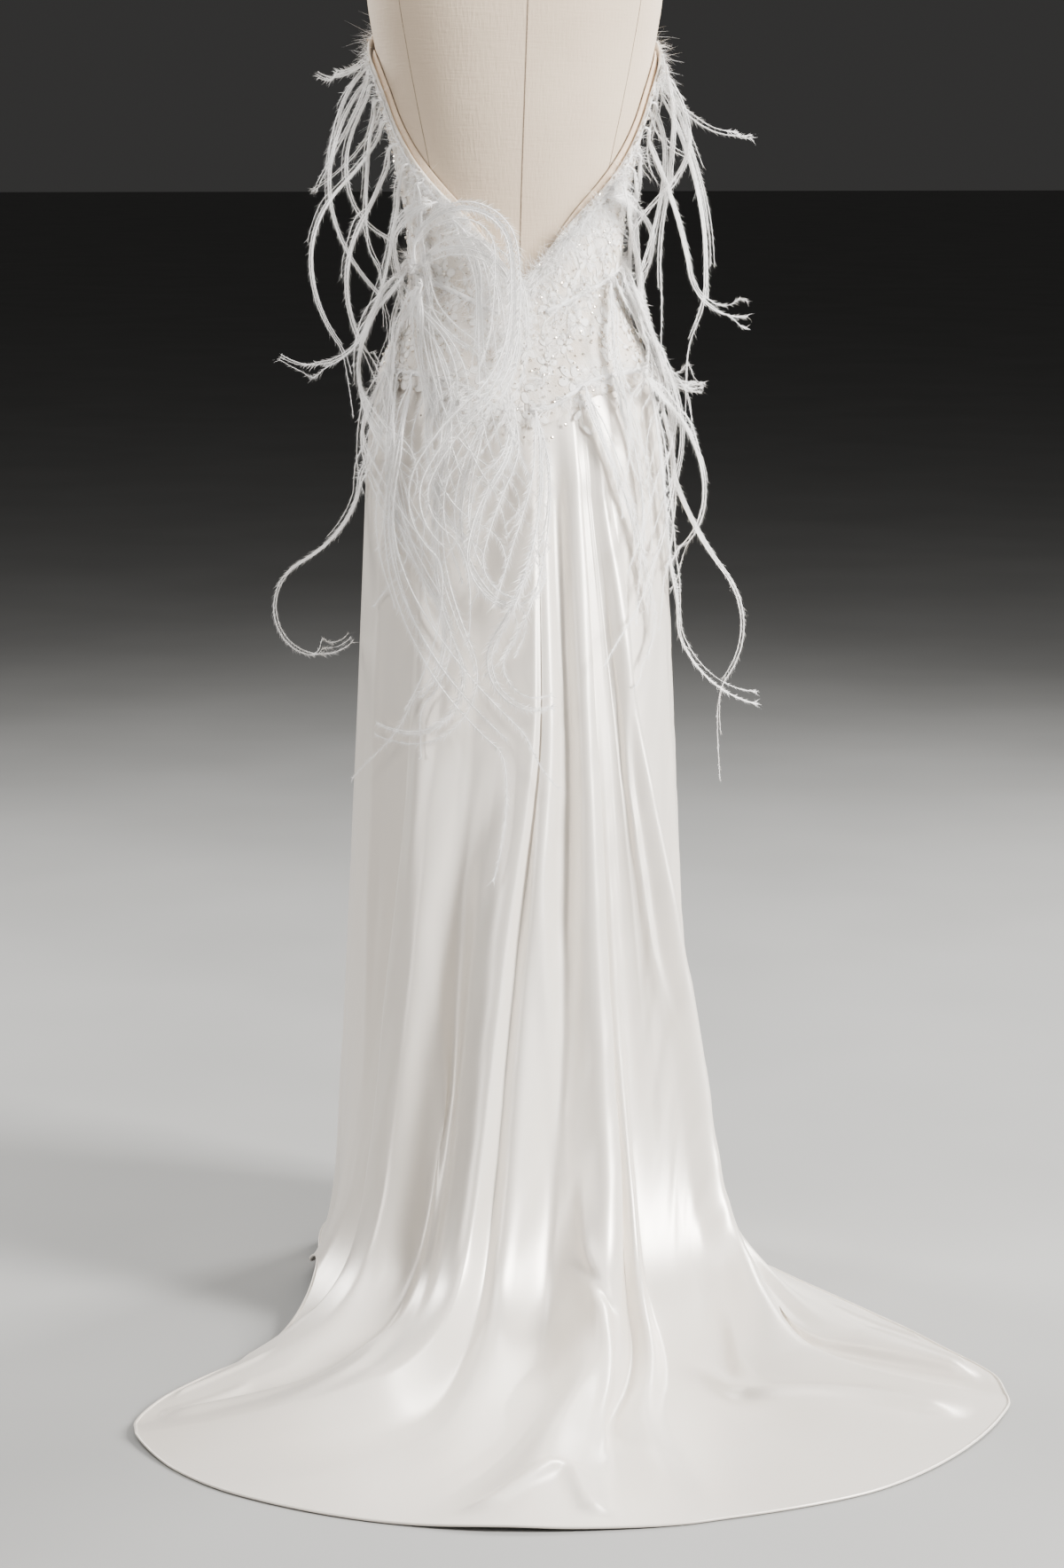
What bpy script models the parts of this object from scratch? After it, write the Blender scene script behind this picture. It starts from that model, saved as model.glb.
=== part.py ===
"""A backless satin wedding gown with a lace bodice and ostrich plumes, on a limbless linen dress form.

Metres, +Z up. The gown's front faces -Y and its train runs out towards +Y. An angle is turned from the
back, +Y, towards -X, so that it grows to the right for someone who stands behind the gown.
"""

import math
from collections import namedtuple

import bmesh
import bpy
import numpy as np
from mathutils import Matrix, Vector
from mathutils.bvhtree import BVHTree

WALL = 0.002
SEAM = 0.0003
OVERHANG_SHARE = 1.2

# Dress form: superellipse sections, each with its half width and its depth behind and before the axis.
FORM_SQUARENESS = 2.25
FORM_SIDES = 32
Section = namedtuple("Section", "height half_width back front")
FORM_SECTIONS = (
    Section(0.800, 0.150, 0.118, 0.102),
    Section(0.860, 0.157, 0.126, 0.107),
    Section(0.910, 0.154, 0.122, 0.105),
    Section(0.955, 0.146, 0.113, 0.100),
    Section(1.000, 0.133, 0.101, 0.094),
    Section(1.040, 0.118, 0.090, 0.088),
    Section(1.085, 0.108, 0.082, 0.084),
    Section(1.140, 0.111, 0.083, 0.088),
    Section(1.200, 0.122, 0.090, 0.096),
    Section(1.260, 0.135, 0.099, 0.106),
    Section(1.320, 0.147, 0.106, 0.114),
    Section(1.380, 0.156, 0.111, 0.115),
    Section(1.430, 0.158, 0.110, 0.107),
    Section(1.470, 0.154, 0.104, 0.095),
    Section(1.500, 0.140, 0.094, 0.082),
    Section(1.525, 0.112, 0.081, 0.068),
    Section(1.545, 0.080, 0.067, 0.057),
    Section(1.565, 0.061, 0.057, 0.050),
    Section(1.600, 0.054, 0.053, 0.048),
    Section(1.640, 0.053, 0.052, 0.047),
)

BASE_RADIUS = 0.150
BASE_THICK = 0.010
COLLAR_RADIUS = 0.026
COLLAR_TOP = 0.045
POLE_RADIUS = 0.0125

# Skirt: how far it stands off the form, where it hangs free, how it leans out and how softly it lands.
SKIRT_EASE = 0.0018
SKIRT_TOP_LAP = 0.014
HANG_HEIGHT = 0.860
LEAN_SIDE = 0.045
LEAN_BACK = 0.115
LANDING_SPREAD = (0.012, 0.075)
LANDING_HEIGHT = (0.050, 0.085)
TRAIN_DROP = 0.004
TRAIN_FULL = 50.0
TRAIN_NONE = 88.0

# Fold map. Each row follows one crest, edge or valley from the lace down to the hem. The stations are
# shares of the way down. Angles are in degrees, heights in millimetres off the plain cone, reach is the
# hem's distance from the axis in metres, and steps is the number of columns up to the next row.
STATIONS = (0.0, 0.22, 0.42, 0.56, 0.68, 0.84, 1.0)
Fold = namedtuple("Fold", "name angles heights reach steps")
BACK_FOLDS = (
    Fold("seam_left", (-90, -90, -90, -90, -90, -89, -87), (0, 0, 0, 0, 0, 0, 0), 0.218, 4),
    Fold("panel_left", (-66, -66, -67, -68, -67, -62, -53), (0, 0, 0, 0, 0, 0, 0), 0.285, 4),
    Fold("foot_left", (-46, -46, -45, -46, -45, -43.5, -42), (0, 0, -3, -4, -3, 0, 0), 0.430, 2),
    Fold("edge_a", (-40, -41, -41, -41.5, -41, -40.5, -41.5), (0, 2, 12, 20, 22, 14, 1), 0.510, 2),
    Fold("ridge_a", (-31, -31, -33, -34, -35, -37, -40.5), (0, 8, 18, 24, 24, 14, 2), 0.590, 3),
    Fold("valley_a", (-19, -18, -22, -24, -26, -30, -39), (0, -2, -9, -14, -12, 0, 0), 0.650, 3),
    Fold("ridge_b", (3, 2, -7.5, -11.5, -14, -18.5, -36.5), (0, 9, 20, 27, 32, 34, 4), 0.688, 2),
    Fold("valley_b", (6, 5, -4.5, -8.5, -11, -14, -30), (0, 3, 6, 8, 8, 0, 0), 0.742, 2),
    Fold("ridge_b2", (9, 8, -1.5, -5.5, -8.5, -11, -24), (0, 6, 13, 15, 12, 6, 0), 0.776, 3),
    Fold("valley_c", (15, 15, 10, 5, 0, -4.5, -13), (0, -2, -9, -14, -14, -1, 0), 0.811, 3),
    Fold("ridge_c", (21, 20.5, 18.5, 16, 9, 0, -5), (0, 9, 15, 22, 28, 28, 4), 0.823, 2),
    Fold("edge_c", (23.5, 23.5, 21.5, 19.5, 12, 2.5, -1), (0, 8, 12, 16, 18, 14, 2), 0.824, 1),
    Fold("foot_c", (25, 25.5, 23.5, 21.5, 14.5, 4.5, 2), (0, 0, -4, -2, 2, 0, 1), 0.824, 1),
    Fold("ridge_d", (26, 27.5, 26, 23.5, 17, 7.5, 6), (0, 0, 0, 8, 16, 12, 0), 0.822, 1),
    Fold("foot_d", (27, 29.5, 29, 26.5, 20, 10.5, 9), (0, 0, -2, -2, -2, 0, 0), 0.817, 2),
    Fold("panel_e", (28.5, 32.5, 34, 33, 28, 17, 19), (0, 1, 4, 5, 3, 0, 0), 0.802, 3),
    Fold("ridge_h", (30.5, 35, 39, 40.5, 37, 24, 36), (0, 5, 16, 20, 14, 16, 2), 0.720, 2),
    Fold("ridge_f", (33, 38.5, 44, 46.5, 44.5, 33, 40), (0, 12, 34, 42, 40, 20, 1), 0.693, 2),
    Fold("foot_f", (37, 43.5, 50, 53, 52, 38, 41.8), (0, 0, 2, 6, 4, 0, 0), 0.673, 2),
    Fold("ridge_g", (46, 52, 58, 61, 61, 44.5, 44.3), (0, 0, 0, 2, 6, 14, 2), 0.641, 3),
    Fold("panel_g", (58, 62, 67, 70, 70, 56, 50), (0, 0, 0, 0, 0, 0, 0), 0.530, 3),
    Fold("panel_right", (74, 76, 78, 79, 79, 74, 66), (0, 0, 0, 0, 0, 0, 0), 0.318, 3),
    Fold("seam_right", (90, 90, 90, 90, 90, 89, 87), (0, 0, 0, 0, 0, 0, 0), 0.218, 0),
)
FRONT_FOLDS = (
    Fold("seam_right", (90, 90, 90, 90, 90, 89, 87), (0, 0, 0, 0, 0, 0, 0), 0.218, 2),
    Fold("front_1", (108, 108, 109, 110, 110, 110, 110), (0, 0, 3, 6, 8, 10, 11), 0.207, 2),
    Fold("front_2", (124, 124, 124, 125, 125, 126, 126), (0, 0, -1, -2, -3, -4, -4), 0.197, 2),
    Fold("front_3", (143, 142, 141, 141, 140, 140, 140), (0, 1, 4, 8, 10, 12, 13), 0.187, 2),
    Fold("front_4", (163, 162, 161, 160, 160, 160, 160), (0, 0, -1, -2, -3, -4, -4), 0.180, 2),
    Fold("front_5", (182, 182, 181, 180, 180, 179, 179), (0, 0, 2, 4, 6, 8, 9), 0.177, 2),
    Fold("front_6", (199, 199, 200, 200, 200, 200, 200), (0, 0, -1, -2, -3, -4, -4), 0.180, 2),
    Fold("front_7", (219, 219, 220, 220, 221, 221, 221), (0, 1, 5, 9, 11, 13, 14), 0.187, 2),
    Fold("front_8", (238, 238, 237, 237, 236, 236, 236), (0, 0, -1, -2, -3, -4, -4), 0.197, 2),
    Fold("front_9", (254, 254, 253, 252, 252, 252, 252), (0, 0, 2, 5, 7, 9, 10), 0.207, 2),
    Fold("seam_left", (270, 270, 270, 270, 270, 271, 273), (0, 0, 0, 0, 0, 0, 0), 0.218, 0),
)
BACK_ROWS = (
    (0.0, 0.10, 3),
    (0.10, 0.54, 9),
    (0.54, 0.90, 12),
    (0.90, 1.0, 3),
)
FRONT_ROWS = (
    (0.0, 0.16, 3),
    (0.16, 1.0, 9),
)
MERIDIAN_SAMPLES = 400


def smooth_curve(x, xs, ys):
    """Monotone cubic through the points, so that a crest stays the highest place of its fold."""
    xs = np.asarray(xs, float)
    ys = np.asarray(ys, float)
    step = np.diff(xs)
    rise = np.diff(ys) / step
    before, after = rise[:-1], rise[1:]
    same = before * after > 0
    slope = np.zeros_like(ys)
    slope[1:-1] = np.where(same, 2 * before * after / np.where(same, before + after, 1), 0)
    slope[0], slope[-1] = rise[0], rise[-1]
    x = np.clip(x, xs[0], xs[-1])
    i = np.clip(np.searchsorted(xs, x, side="right") - 1, 0, len(xs) - 2)
    t = (x - xs[i]) / step[i]
    ends = (1 + 2 * t) * (1 - t) ** 2 * ys[i] + t * t * (3 - 2 * t) * ys[i + 1]
    bends = t * (1 - t) ** 2 * slope[i] + t * t * (t - 1) * slope[i + 1]
    return ends + step[i] * bends


def fade(x, start, end):
    """0 before start, 1 after end, and a soft step between."""
    t = np.clip((x - start) / (end - start), 0, 1)
    return t * t * (3 - 2 * t)


def soft_ramp(x):
    """ln(1 + e^x): 0 far below, x far above, and round between."""
    return np.logaddexp(0, x)


def form_radius(angle, height):
    """Distance from the axis to the dress form's skin."""
    heights = [s.height for s in FORM_SECTIONS]
    across = smooth_curve(height, heights, [s.half_width for s in FORM_SECTIONS])
    back = smooth_curve(height, heights, [s.back for s in FORM_SECTIONS])
    front = smooth_curve(height, heights, [s.front for s in FORM_SECTIONS])
    sine = np.abs(np.sin(angle))
    cosine = np.cos(angle)
    depth = np.where(cosine > 0, back, front)
    power = FORM_SQUARENESS
    return ((sine / across) ** power + (np.abs(cosine) / depth) ** power) ** (-1 / power)


def place(angle, radius, height):
    """Points from angles, distances from the axis and heights."""
    return np.stack([-np.sin(angle) * radius, np.cos(angle) * radius, height + 0 * radius], -1)


def cone_radius(angle, height):
    """The plain skirt before its folds: it follows the hips, then leans out below them."""
    degrees = np.abs(np.degrees(np.arctan2(np.sin(angle), np.cos(angle))))
    train = 1 - fade(degrees, TRAIN_FULL, TRAIN_NONE)
    lean = LEAN_SIDE + LEAN_BACK * train * np.cos(angle) ** 2
    hips = form_radius(angle, np.maximum(height, HANG_HEIGHT)) + SKIRT_EASE
    return hips + lean * np.maximum(HANG_HEIGHT - height, 0)


def fold_values(folds, columns, shares, pick):
    """A value that each fold states at the stations, spread smoothly over columns and shares."""
    starts = [fold.angles[0] for fold in folds]
    stations = [
        smooth_curve(columns, starts, [pick(fold)[k] for fold in folds]) for k in range(len(STATIONS))
    ]
    stations = np.array(stations)
    return np.array([smooth_curve(shares, STATIONS, stations[:, i]) for i in range(len(columns))])


def skirt_top(angle):
    """Height of the skirt's upper edge, hidden under the lace."""
    return lace_bottom(angle) + SKIRT_TOP_LAP


def skirt_surface(folds, columns, shares):
    """Inner face of the skirt, as a grid of points: columns are starting angles in degrees."""
    starts = [fold.angles[0] for fold in folds]
    angle = np.radians(fold_values(folds, columns, shares, lambda fold: fold.angles))
    lift = fold_values(folds, columns, shares, lambda fold: fold.heights) / 1000
    reach = smooth_curve(columns, starts, [fold.reach for fold in folds])
    hem_angle = np.degrees(angle[:, -1])
    hem_angle = np.abs((hem_angle + 180) % 360 - 180)
    train = 1 - fade(hem_angle, TRAIN_FULL, TRAIN_NONE)
    spread = LANDING_SPREAD[0] + (LANDING_SPREAD[1] - LANDING_SPREAD[0]) * train
    landing = LANDING_HEIGHT[0] + (LANDING_HEIGHT[1] - LANDING_HEIGHT[0]) * train
    drop = TRAIN_DROP * fade(train, 0.2, 0.9)
    flare = np.maximum(reach - cone_radius(angle[:, -1], np.zeros(len(columns))), 0.004)
    first = -skirt_top(angle[:, 0]) / landing
    last = np.log(np.expm1(flare / spread))
    base = np.empty(angle.shape + (3,))
    for i in range(len(columns)):
        t = np.linspace(first[i], last[i], MERIDIAN_SAMPLES)
        down = landing[i] * soft_ramp(-t)
        out = spread[i] * soft_ramp(t)
        length = np.concatenate([[0], np.cumsum(np.hypot(np.diff(down), np.diff(out)))])
        at = np.interp(shares * length[-1], length, t)
        height = np.maximum(landing[i] * soft_ramp(-at) - drop[i], 0)
        radius = cone_radius(angle[i], height) + spread[i] * soft_ramp(at)
        base[i] = place(angle[i], radius, height)
    normal = grid_normals(base)
    surface = base + normal * lift[..., None]
    surface[..., 2] = np.maximum(surface[..., 2], 0)
    return surface


def grid_normals(points):
    """Outward unit normals of a grid whose first index turns with the angle and second runs down."""
    turn = np.gradient(points, axis=0)
    down = np.gradient(points, axis=1)
    normal = np.cross(down, turn)
    return normal / np.linalg.norm(normal, axis=-1, keepdims=True)


def fold_columns(folds):
    """Starting angles of the grid's columns: each fold row and the steps up to the next one."""
    columns = []
    for fold, following in zip(folds, folds[1:]):
        columns.extend(np.linspace(fold.angles[0], following.angles[0], fold.steps, endpoint=False))
    columns.append(folds[-1].angles[0])
    return np.array(columns, float)


def share_rows(rows):
    """Shares of the way down, from (start, end, steps) stretches."""
    shares = [0.0]
    for start, end, steps in rows:
        shares.extend(np.linspace(start, end, steps + 1)[1:])
    return np.array(shares)


# Lace bodice: (angle from the back in degrees, height) along its lower and upper edges.
LACE_BOTTOM = (
    (0, 0.932),
    (12, 0.936),
    (24, 0.950),
    (38, 0.964),
    (60, 0.970),
    (90, 0.972),
    (135, 0.968),
    (180, 0.962),
)
LACE_TOP = (
    (0, 1.078),
    (8, 1.092),
    (20, 1.116),
    (35, 1.146),
    (50, 1.176),
    (62, 1.208),
    (70, 1.240),
    (76, 1.278),
    (83, 1.306),
    (92, 1.322),
    (110, 1.342),
    (135, 1.372),
    (155, 1.378),
    (170, 1.358),
    (180, 1.345),
)
LACE_EASE = 0.0022
LACE_STAND_OFF = 0.005
LACE_LAP = 0.0028
LACE_BAND = 0.022
LACE_STEP = 7.5
LACE_ROWS = 7


def lace_bottom(angle):
    degrees = np.abs(np.degrees(np.arctan2(np.sin(angle), np.cos(angle))))
    return smooth_curve(degrees, [row[0] for row in LACE_BOTTOM], [row[1] for row in LACE_BOTTOM])


def lace_top(angle):
    degrees = np.abs(np.degrees(np.arctan2(np.sin(angle), np.cos(angle))))
    return smooth_curve(degrees, [row[0] for row in LACE_TOP], [row[1] for row in LACE_TOP])


def lace_ease(angle, height):
    """Room between the form and the bodice's inner face: it clears the skirt and stands off at the sides."""
    degrees = np.abs(np.degrees(np.arctan2(np.sin(angle), np.cos(angle))))
    side = fade(degrees, 25, 60) * (1 - fade(degrees, 82, 110))
    near_edge = 1 - fade(lace_top(angle) - height, 0.0, 0.09)
    over_skirt = 1 - fade(height - lace_bottom(angle), LACE_BAND, LACE_BAND + 0.030)
    return LACE_EASE + LACE_STAND_OFF * side * near_edge + LACE_LAP * over_skirt


def bodice_surface(first, last):
    """Inner face of a bodice panel between two angles in degrees, a column every LACE_STEP."""
    angle = np.radians(np.arange(first, last + LACE_STEP / 2, LACE_STEP))[:, None]
    share = np.linspace(0, 1, LACE_ROWS)[None, :]
    above = lace_top(angle) + (lace_bottom(angle) + LACE_BAND - lace_top(angle)) * share
    height = np.concatenate([above, lace_bottom(angle)], axis=1)
    angle = angle + 0 * height
    radius = form_radius(angle, height) + lace_ease(angle, height)
    return place(angle, radius, height)


def parted(surface):
    """The same grid with its first and last columns moved in, so that the walls' faces clear the seam."""
    normal = grid_normals(surface)
    surface = surface.copy()
    for edge, inner in ((0, 1), (-1, -2)):
        across = surface[inner] - surface[edge]
        across /= np.linalg.norm(across, axis=-1, keepdims=True)
        radial = surface[edge] * (1, 1, 0)
        radial /= np.linalg.norm(radial, axis=-1, keepdims=True)
        aside = across * (1, 1, 0)
        aside -= radial * (aside * radial).sum(axis=-1, keepdims=True)
        aside /= np.linalg.norm(aside, axis=-1, keepdims=True)
        overhang = np.maximum(-(normal[edge] * aside).sum(axis=-1), 0) * OVERHANG_SHARE * WALL
        gap = (SEAM / 2 + overhang) / (across * aside).sum(axis=-1)
        surface[edge] += across * gap[:, None]
    return surface


def material(name, colour, roughness, metallic=0.0):
    made = bpy.data.materials.new(name)
    made.use_nodes = True
    shader = made.node_tree.nodes["Principled BSDF"]
    shader.inputs["Base Color"].default_value = (*colour, 1)
    shader.inputs["Roughness"].default_value = roughness
    shader.inputs["Metallic"].default_value = metallic
    return made


def add_object(name, mesh, finish, collection):
    obj = bpy.data.objects.new(name, mesh)
    mesh.materials.append(finish)
    collection.objects.link(obj)
    return obj


def cloth_wall(name, surface, finish, collection, wall=WALL):
    """A cloth panel: the grid is its inner face and Solidify grows the wall outwards."""
    columns, rows = surface.shape[:2]
    faces = [
        (i * rows + j, i * rows + j + 1, (i + 1) * rows + j + 1, (i + 1) * rows + j)
        for i in range(columns - 1)
        for j in range(rows - 1)
    ]
    mesh = bpy.data.meshes.new(name)
    mesh.from_pydata(surface.reshape(-1, 3).tolist(), [], faces)
    mesh.shade_smooth()
    obj = add_object(name, mesh, finish, collection)
    solidify = obj.modifiers.new("Wall", "SOLIDIFY")
    solidify.thickness = wall
    solidify.offset = 1
    return obj


def dress_form(finish, collection):
    """The torso: a loft through the sections, closed below the hips and on top of the neck."""
    shape = bmesh.new()
    angles = np.radians(np.arange(FORM_SIDES) * 360 / FORM_SIDES)
    rings = []
    for section in FORM_SECTIONS:
        height = np.full(FORM_SIDES, section.height)
        ring = place(angles, form_radius(angles, height), height)
        rings.append([shape.verts.new(point) for point in ring])
    for low, high in zip(rings, rings[1:]):
        for i in range(FORM_SIDES):
            j = (i + 1) % FORM_SIDES
            shape.faces.new((low[i], low[j], high[j], high[i]))
    shape.faces.new(rings[0][::-1])
    shape.faces.new(rings[-1])
    bmesh.ops.recalc_face_normals(shape, faces=shape.faces)
    mesh = bpy.data.meshes.new("form_torso")
    shape.to_mesh(mesh)
    shape.free()
    mesh.shade_smooth()
    return add_object("form_torso", mesh, finish, collection)


def stand(finish, collection):
    """A flat round base with a collar, and the pole that carries the torso."""
    profile = (
        (0.0, COLLAR_TOP),
        (COLLAR_RADIUS - 0.004, COLLAR_TOP),
        (COLLAR_RADIUS, COLLAR_TOP - 0.004),
        (COLLAR_RADIUS, BASE_THICK + 0.004),
        (COLLAR_RADIUS + 0.004, BASE_THICK),
        (BASE_RADIUS - 0.004, BASE_THICK),
        (BASE_RADIUS, BASE_THICK - 0.004),
        (BASE_RADIUS, 0.0),
        (0.0, 0.0),
    )
    mesh = bpy.data.meshes.new("stand_base")
    points = [(radius, 0, height) for radius, height in profile]
    mesh.from_pydata(points, [(i, i + 1) for i in range(len(points) - 1)], [])
    base = add_object("stand_base", mesh, finish, collection)
    turn = base.modifiers.new("Turn", "SCREW")
    turn.steps = 32
    turn.render_steps = 32
    turn.use_merge_vertices = True
    turn.merge_threshold = 0.0001
    low = COLLAR_TOP + SEAM
    high = FORM_SECTIONS[0].height - SEAM
    bpy.ops.mesh.primitive_cylinder_add(
        vertices=20, radius=POLE_RADIUS, depth=high - low, location=(0, 0, (low + high) / 2)
    )
    pole = bpy.context.object
    pole.name = "stand_pole"
    pole.data.materials.append(finish)
    for holder in list(pole.users_collection):
        holder.objects.unlink(pole)
    collection.objects.link(pole)


RAY_START = 0.4
RAY_SPREAD = 0.4


def lace_trees(panels):
    """Search trees of the finished bodice panels, so that what lies on them keeps to their real faces."""
    scene = bpy.context.evaluated_depsgraph_get()
    return [BVHTree.FromObject(panel, scene) for panel in panels]


def lace_reach(trees, degrees, height, outside):
    """Distance from the axis to the bodice's outer or inner face, met by rays close beside each other."""
    found = []
    for turn in np.radians([degrees - RAY_SPREAD, degrees, degrees + RAY_SPREAD]):
        toward = Vector((-math.sin(turn), math.cos(turn), 0))
        foot = Vector((0, 0, height))
        start, heading = (foot + toward * RAY_START, -toward) if outside else (foot, toward)
        for tree in trees:
            hit = tree.ray_cast(start, heading, RAY_START)[0]
            if hit is not None:
                found.append((hit - foot).length)
    return max(found) if outside else min(found)


# Nude lining that shows above the lace at the back opening: angles in degrees, and how far it rises.
LINING_SPANS = (("lining_left", -82, -22), ("lining_right", 24, 82))
LINING_WALL = 0.0010
LINING_INSET = 1.15
LINING_RISE = 0.007
LINING_DEPTH = 0.012
EDGE_MISS = 0.003


def lining_surface(trees, first, last, columns=12, rows=3):
    """Inner face of a lining strip that follows the opening's edge, just inside the lace."""
    degrees = np.linspace(first, last, columns + 1)
    angle = np.radians(degrees)[:, None]
    share = np.linspace(0, 1, rows + 1)[None, :]
    ends = np.sin(np.linspace(0, math.pi, columns + 1))[:, None] ** 0.5
    height = lace_top(angle) + LINING_RISE * ends - (LINING_DEPTH + LINING_RISE * ends) * share
    below = np.minimum(height, lace_top(angle) - EDGE_MISS)
    lace = np.array([
        [lace_reach(trees, turn, level, False) for level in line] for turn, line in zip(degrees, below)
    ])
    return place(angle + 0 * share, lace - LINING_INSET * LINING_WALL - SEAM, height)


# Plumes: strips sewn on the lace, each with the plumes that are rooted in it. view is the side that the
# strip's plumes are seen from, in degrees; fill is how many plainer plumes are added between the named ones.
STRIP_WALL = 0.0016
STRIP_HIGH = 0.005
STRIP_CLEAR = 0.0006
ROOT_WIDE = 0.0044
ROOT_APART = 3.0
EDGE_INSET = 0.013
WAIST_ROW = ((0, 1.045), (14, 1.050), (50, 1.075), (100, 1.100), (180, 1.095))
BASQUE_RISE = 0.017
Strip = namedtuple("Strip", "name row first last view fill")
STRIPS = (
    Strip("plumes_edge_left", "edge", -92, -18, 0, 3),
    Strip("plumes_edge_right", "edge", 18, 92, 0, 5),
    Strip("plumes_waist_left", "waist", -92, -14, 0, 3),
    Strip("plumes_waist_right", "waist", 15, 92, 0, 5),
    Strip("plumes_basque_left", "basque", -76, -2.5, 0, 1),
    Strip("plumes_basque_right", "basque", 2.5, 84, 0, 2),
    Strip("plumes_edge_front", "edge", 96, 264, 180, 15),
    Strip("plumes_waist_front", "waist", 96, 264, 180, 14),
)
# Each named plume: root angle, then in its view's plane the heading that it leaves at (0 is right, 90 is
# up), its length in millimetres, its turn in each equal stretch, and its lift off the cloth in millimetres.
Plume = namedtuple("Plume", "root heading length turns lift")
PLUMES = {
    "plumes_edge_left": (
        Plume(-89.5, 190, 62, (25, -25, -45), 8),
        Plume(-86.5, 208, 95, (30, 15, 5), 10),
        Plume(-83.5, 230, 255, (22, 35, 28), 12),
        Plume(-80, 238, 185, (12, 35, 50), 10),
        Plume(-76.5, 246, 180, (20, 0, 35), 8),
        Plume(-73, 246, 268, (-22, 48, 35), 16),
        Plume(-69, 252, 270, (-12, 38, 35), 14),
        Plume(-64, 256, 290, (5, -20, -95), 20),
        Plume(-50, 175, 240, (100, 40, -50), 26),
        Plume(-42, 310, 275, (-40, 5, 22), 14),
        Plume(-36, 325, 230, (-45, -12, 10), 9),
    ),
    "plumes_edge_right": (
        Plume(52, 5, 150, (-50, -60, -60), 14),
        Plume(67, 275, 190, (-10, -5, 40), 8),
        Plume(72, 295, 250, (-5, -10, 85), 24),
        Plume(76, 305, 190, (-35, -15, -5), 12),
        Plume(80, 300, 280, (-12, -15, -25), 20),
        Plume(85, 315, 205, (-35, -55, 10), 14),
    ),
    "plumes_waist_left": (
        Plume(-89, 262, 530, (-3, -1, -10, -40, 92, 105), 12),
        Plume(-85, 215, 250, (35, 35, 40), 14),
        Plume(-81, 225, 220, (15, 40, 40), 22),
        Plume(-77, 110, 510, (-90, -102, -16, -39, 19, 78), 40),
        Plume(-73, 75, 260, (-80, -70, -20, -33), 30),
    ),
    "plumes_waist_right": (
        Plume(64, 300, 250, (5, -25, -30), 26),
        Plume(76, 290, 175, (-5, 15, 80), 12),
        Plume(85, 295, 330, (-8, -20, -25), 20),
    ),
    "plumes_basque_left": (
        Plume(-70, 240, 210, (20, 35, 20), 14),
        Plume(-62, 250, 355, (25, 28, -75), 10),
        Plume(-55, 252, 415, (12, 35, 20), 16),
        Plume(-42, 245, 195, (22, 20, 45), 10),
        Plume(-34, 258, 430, (6, 28, -130), 8),
        Plume(-25, 120, 75, (110, 90, 40), 12),
        Plume(-16, 238, 320, (24, 50, 190), 14),
        Plume(-5, 275, 230, (-38, 20, 80), 20),
    ),
    "plumes_basque_right": (
        Plume(5, 283, 368, (-25, -20, 140), 18),
        Plume(30, 288, 250, (5, -10, -5), 10),
        Plume(45, 288, 200, (0, -12, -10), 8),
        Plume(62, 318, 260, (-12, -40, -65), 16),
        Plume(70, 280, 415, (-5, 5, 65), 22),
        Plume(78, 276, 370, (12, 20, -75), 12),
    ),
}
FILL_LENGTHS = (0.13, 0.29)
FILL_LIFTS = (0.008, 0.024)
FILL_SEED = 7
PLUME_RADIUS = (0.0014, 0.0022, 0.0009)
PLUME_STEP = 0.004
ROOT_SECTIONS = (4, 12)
SECTION_BEND = 32
SECTION_LENGTH = 45
PLUME_CLEAR = 0.0060
PLUMES_APART = 0.0056
CHORD_STEP = 0.003
LIFT_STEP = 0.003
LIFT_REACH = 0.022
LIFT_TRIES = 40
BODY_HEIGHTS = np.arange(0.30, 1.45, 0.01)
BODY_ANGLES = np.arange(-180.0, 181.0, 2.0)


def clothed_body():
    """Distance from the axis to the cloth's outer face, over BODY_HEIGHTS and BODY_ANGLES."""
    shares = np.linspace(0, 0.8, 120)
    found = []
    for folds in (BACK_FOLDS, FRONT_FOLDS):
        columns = np.linspace(folds[0].angles[0], folds[-1].angles[0], 121)
        found.append(skirt_surface(folds, columns, shares))
    points = np.concatenate(found)
    body = np.empty((len(BODY_HEIGHTS), len(BODY_ANGLES)))
    for row, height in enumerate(BODY_HEIGHTS):
        level = np.array([[np.interp(-height, -line[:, 2], line[:, axis]) for axis in (0, 1)] for line in points])
        angle = np.degrees(np.arctan2(-level[:, 0], level[:, 1]))
        order = np.argsort(angle)
        skirt = np.interp(BODY_ANGLES, angle[order], np.hypot(*level.T)[order], period=360) + WALL
        turned = np.radians(BODY_ANGLES)
        lace = form_radius(turned, height) + lace_ease(turned, height) + WALL
        body[row] = np.where(height > lace_bottom(turned) - 0.01, np.maximum(lace, skirt * (height < 0.98)), skirt)
    return np.maximum(body, np.maximum(np.roll(body, 1, 1), np.roll(body, -1, 1)) - 0.004)


def body_radius(body, degrees, height):
    """The body's radius at any angle and height, between its samples."""
    row = np.clip((height - BODY_HEIGHTS[0]) / 0.01, 0, len(BODY_HEIGHTS) - 1.001)
    column = ((degrees + 180) % 360) / 2
    i, j = np.floor(row).astype(int), np.floor(column).astype(int)
    u, v = row - i, column - j
    low = body[i, j] * (1 - v) + body[i, j + 1] * v
    high = body[i + 1, j] * (1 - v) + body[i + 1, j + 1] * v
    return low * (1 - u) + high * u


def row_height(row, degrees):
    """Height of a sewn row of plumes at an angle from the back."""
    angle = np.radians(degrees)
    if row == "edge":
        return lace_top(angle) - EDGE_INSET
    if row == "basque":
        return lace_bottom(angle) + BASQUE_RISE
    turned = np.abs(np.degrees(np.arctan2(np.sin(angle), np.cos(angle))))
    return smooth_curve(turned, [point[0] for point in WAIST_ROW], [point[1] for point in WAIST_ROW])


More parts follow.
